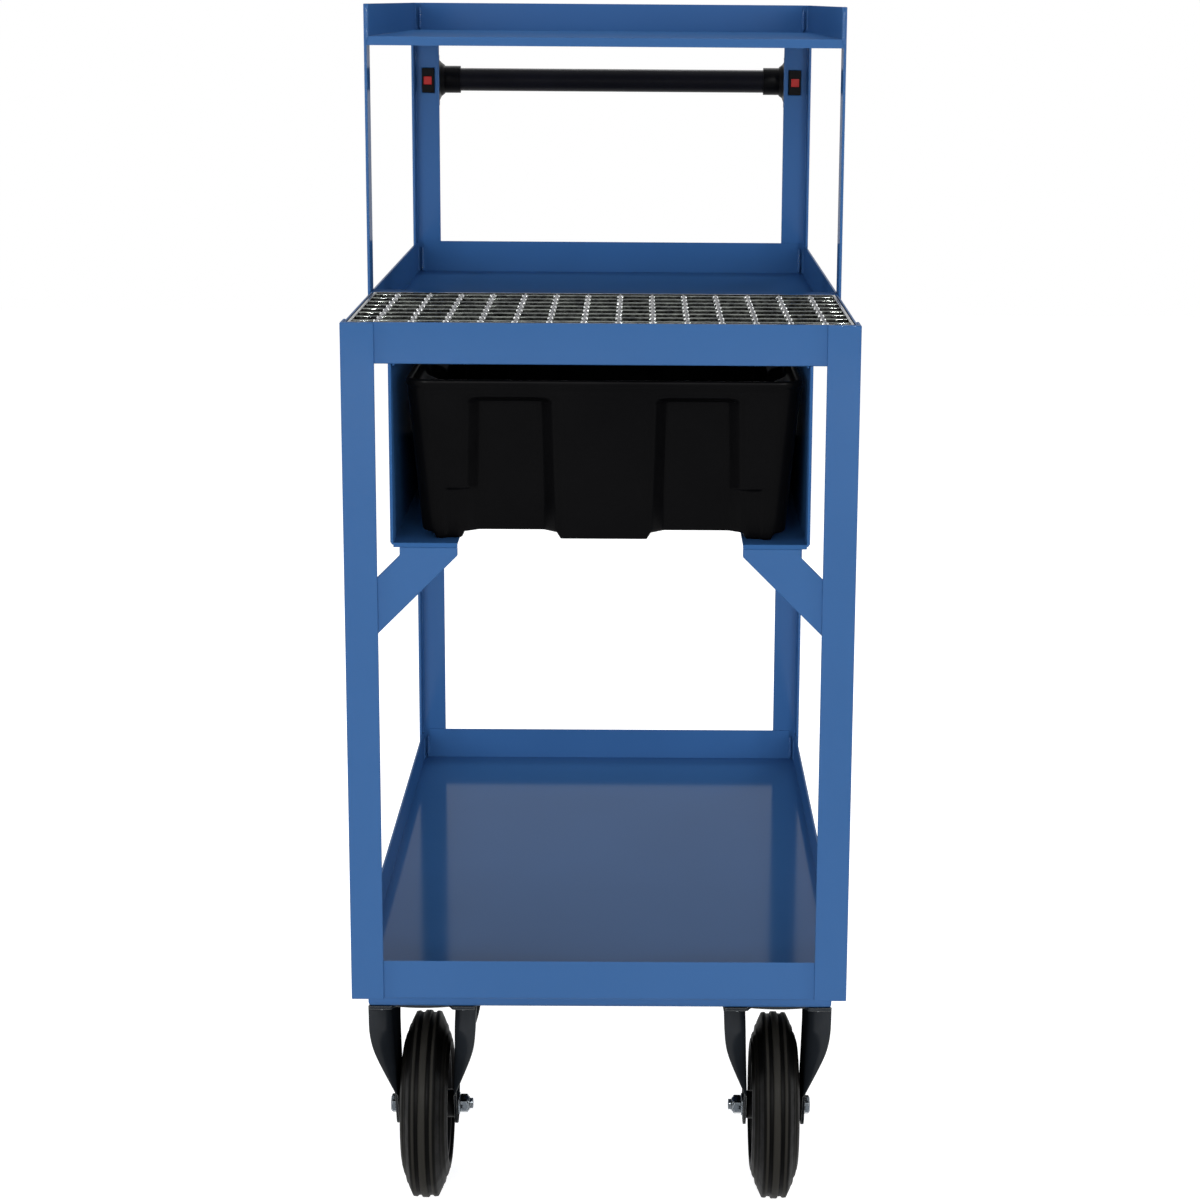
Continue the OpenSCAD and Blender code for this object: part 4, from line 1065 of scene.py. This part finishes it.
def hexagon(across, height, crown=0.0):
    """A hexagon block from z = 0 up, with chamfered rims and a low crown on its top."""
    r = across / 2
    corner = r / math.cos(math.pi / 6)
    return lathe([(0, 0), (r * 0.97, 0), (corner, r * 0.09), (corner, height - r * 0.12),
                  (r * 0.95, height), (r * 0.8, height + crown * 0.6), (0, height + crown)],
                 columns=72, across=across)


def collar(inner, outer, low, high, soft=0.3):
    """A ring with softened rims between two heights, closed through its bore."""
    return lathe([(inner, low), (outer - soft, low), (outer, low + soft),
                  (outer, high - soft), (outer - soft, high), (inner, high), (inner, low)],
                 columns=48)


def shank(radius, low, high, chamfer=1.0):
    """A round rod with a chamfered end."""
    return lathe([(0, low), (radius, low), (radius, high - chamfer), (radius - chamfer, high),
                  (0, high)], columns=32)


def thread(radius, low, high, pitch=1.75):
    """Round grooves of a thread as a profile that swings by a third of the pitch."""
    z = np.linspace(low, high, int((high - low) / pitch * 6) + 1)
    r = radius - 0.33 * pitch * (0.5 - 0.5 * np.cos(2 * np.pi * (z - low) / pitch))
    profile = [(0, low)] + list(zip(r, z)) + [(radius * 0.75, high + 0.4), (0, high + 0.5)]
    return lathe(profile, columns=32)


def raised(part, height):
    """The part moved up by the height."""
    return part[0] + [0, 0, height], part[1]


def axle_set(place, outward_sign, body, names, replaced):
    """An axle bolt with its head on the outer side, and its washer, nut and thread end."""
    head_axis, nut_axis = ("x", "-x") if outward_sign > 0 else ("-x", "x")
    step = np.array([outward_sign * GRIP / 2, 0, 0])
    bolt = [stand(hexagon(AXLE_HEX, HEAD_H - CROWN, CROWN), place + step, head_axis),
            stand(shank(AXLE_D / 2, -1, GRIP + WASHER), place + step, nut_axis),
            stand(thread(AXLE_D / 2, NUT_H - 0.8, NUT_H + 3.4), place - step, nut_axis)]
    add_piece(names[0], bolt, body, "zinc_plate", replaced[0], sharp=30)
    nut = [collar(AXLE_D / 2 + 0.1, AXLE_D, 0, WASHER),
           raised(hexagon(AXLE_HEX, NUT_H - WASHER - 1.4, 0), WASHER),
           collar(AXLE_D / 2 - 0.3, AXLE_HEX * INSERT_SHARE, NUT_H - INSERT_H, NUT_H,
                  INSERT_SOFT)]
    nut = [stand(part, place - step, nut_axis) for part in nut]
    add_piece(names[1], nut, body, "zinc_plate", replaced[1], sharp=30)


# Both front bolts are one node of the model, and so are their nuts: the left set stands in
FRONT_NODES = {"left": (["front_axle_bolts"], ["front_axle_nuts"]), "right": ((), ())}
for side, sign in SIDES.items():
    front = np.array([sign * CASTER_X, FRONT_Y, WHEEL_R])
    rear = np.array([sign * CASTER_X, REAR_Y, WHEEL_R])
    axle_set(front, sign, "frame",
             (f"front_axle_bolt_{side}_turned", f"front_axle_nut_{side}_turned"),
             FRONT_NODES[side])
    axle_set(rear, sign, f"swivel_{side}",
             (f"rear_axle_bolt_{side}_turned", f"rear_axle_nut_{side}_turned"),
             ([f"rear_axle_bolt_{side}"], [f"rear_axle_nut_{side}"]))

plate_bolts, plate_nuts = [], []
for sign in SIDES.values():
    for centre_y in (FRONT_Y, PIN_Y):
        for dx in (-BOLT_DX, BOLT_DX):
            for dy in (-BOLT_DY, BOLT_DY):
                spot = np.array([sign * CASTER_X + dx, centre_y + dy, PLATE_Z])
                head = hexagon(BOLT_HEX, BOLT_HEAD, BOLT_CROWN)
                plate_bolts.append(stand(head, spot, "-z"))
                plate_bolts.append(stand(shank(BOLT_R, 0, BOLT_L), spot))
                plate_nuts.append(stand(raised(hexagon(BOLT_HEX, BOLT_NUT), NUT_UP), spot))
add_piece("plate_bolts_turned", plate_bolts, "frame", "zinc_plate", ["caster_bolts"],
          sharp=30)
add_piece("plate_nuts_turned", plate_nuts, "frame", "zinc_plate", ["caster_nuts"], sharp=30)
print("bolts:", len(plate_bolts) // 2 + 4)

# %% [markdown]
# Where sheets meet the posts they are welded, and the paint covers the bead. A bead is a
# thin rope along the joint: its radius swings with each pass of the torch and it closes to
# a point at both ends, sunk a little into the corner.

# %% Weld beads
# Heights from which and to which the beads run in the rear corners of the three shelves
SHELF_BEADS = ((269.5, 300), (914.5, 947), (1216.5, 1245))
# Upright beads of such a corner as (x, y, radius, seed), and the tacks under them as (x, y)
CORNER_BEADS = ((240.6, 411.4, 2.2, 3), (245.6, 397.0, 1.6, 4))
TACKS, TACK_UP, TACK_LENGTH, TACK_R = ((245.0, 400.5), (240.5, 409.8)), 1.2, 5, 3.0
# All others as (start, end, radius, seed): two at the front corners of the lower shelf, one
# each at an upright's top, under the front rail and at a brace's foot
LONE_BEADS = (
    ((245.6, -460.5, 271), (245.6, -460.5, 303), 2.0, 5),
    ((239.0, -479.4, 271), (239.0, -479.4, 303), 1.6, 6),
    ((246.8, -205.0, 1212), (246.8, -205.0, 1247), 1.8, 9),
    ((200, -476.6, 911.8), (200, -430, 911.8), 1.7, 11),
    ((245.6, -473, 622), (245.6, -473, 668), 1.6, 12),
)


def bead(start, end, radius, seed):
    """A rope from start to end: radius x (1 + ripple), and over the last two radii at each
    end x sqrt(distance from the end / two radii), which closes it to a point."""
    start, end = np.array(start, float), np.array(end, float)
    length = np.linalg.norm(end - start)
    along = (end - start) / length
    side = np.cross(along, [0.0, 0.0, 1.0] if abs(along[2]) < 0.9 else [1.0, 0.0, 0.0])
    side /= np.linalg.norm(side)
    up = np.cross(along, side)
    swing = np.random.default_rng(seed)
    u = np.linspace(0, 1, max(12, int(length / 0.8)))
    ripple = 1 + 0.13 * np.sin(2 * np.pi * u * length / 2.9) + 0.07 * np.interp(
        u, np.linspace(0, 1, 9), swing.uniform(-1, 1, 9))
    close = np.sqrt(np.clip(np.minimum(u, 1 - u) * length / (2 * radius), 0, 1))
    r = radius * ripple * close
    angle = np.linspace(0, 2 * np.pi, 12, endpoint=False)
    points = (start + u[:, None, None] * (end - start)
              + r[:, None, None] * (np.cos(angle)[None, :, None] * side
                                    + np.sin(angle)[None, :, None] * up))
    return points, grid_quads(len(u), 12, close_columns=True)


beads = []
for sign in SIDES.values():
    for low, high in SHELF_BEADS:
        for x, y, radius, seed in CORNER_BEADS:
            beads.append(bead((sign * x, y, low), (sign * x, y, high), radius, seed))
        for x, y in TACKS:
            foot = np.array([sign * x, y, low + TACK_UP])
            beads.append(bead(foot, foot + [0, 0, TACK_LENGTH], TACK_R, 7))
    for start, end, radius, seed in LONE_BEADS:
        beads.append(bead(np.array(start) * [sign, 1, 1], np.array(end) * [sign, 1, 1],
                          radius, seed))
add_piece("weld_beads", beads, "frame", "blue_paint", look="weld_paint", sharp=80)
print("weld beads:", len(beads))
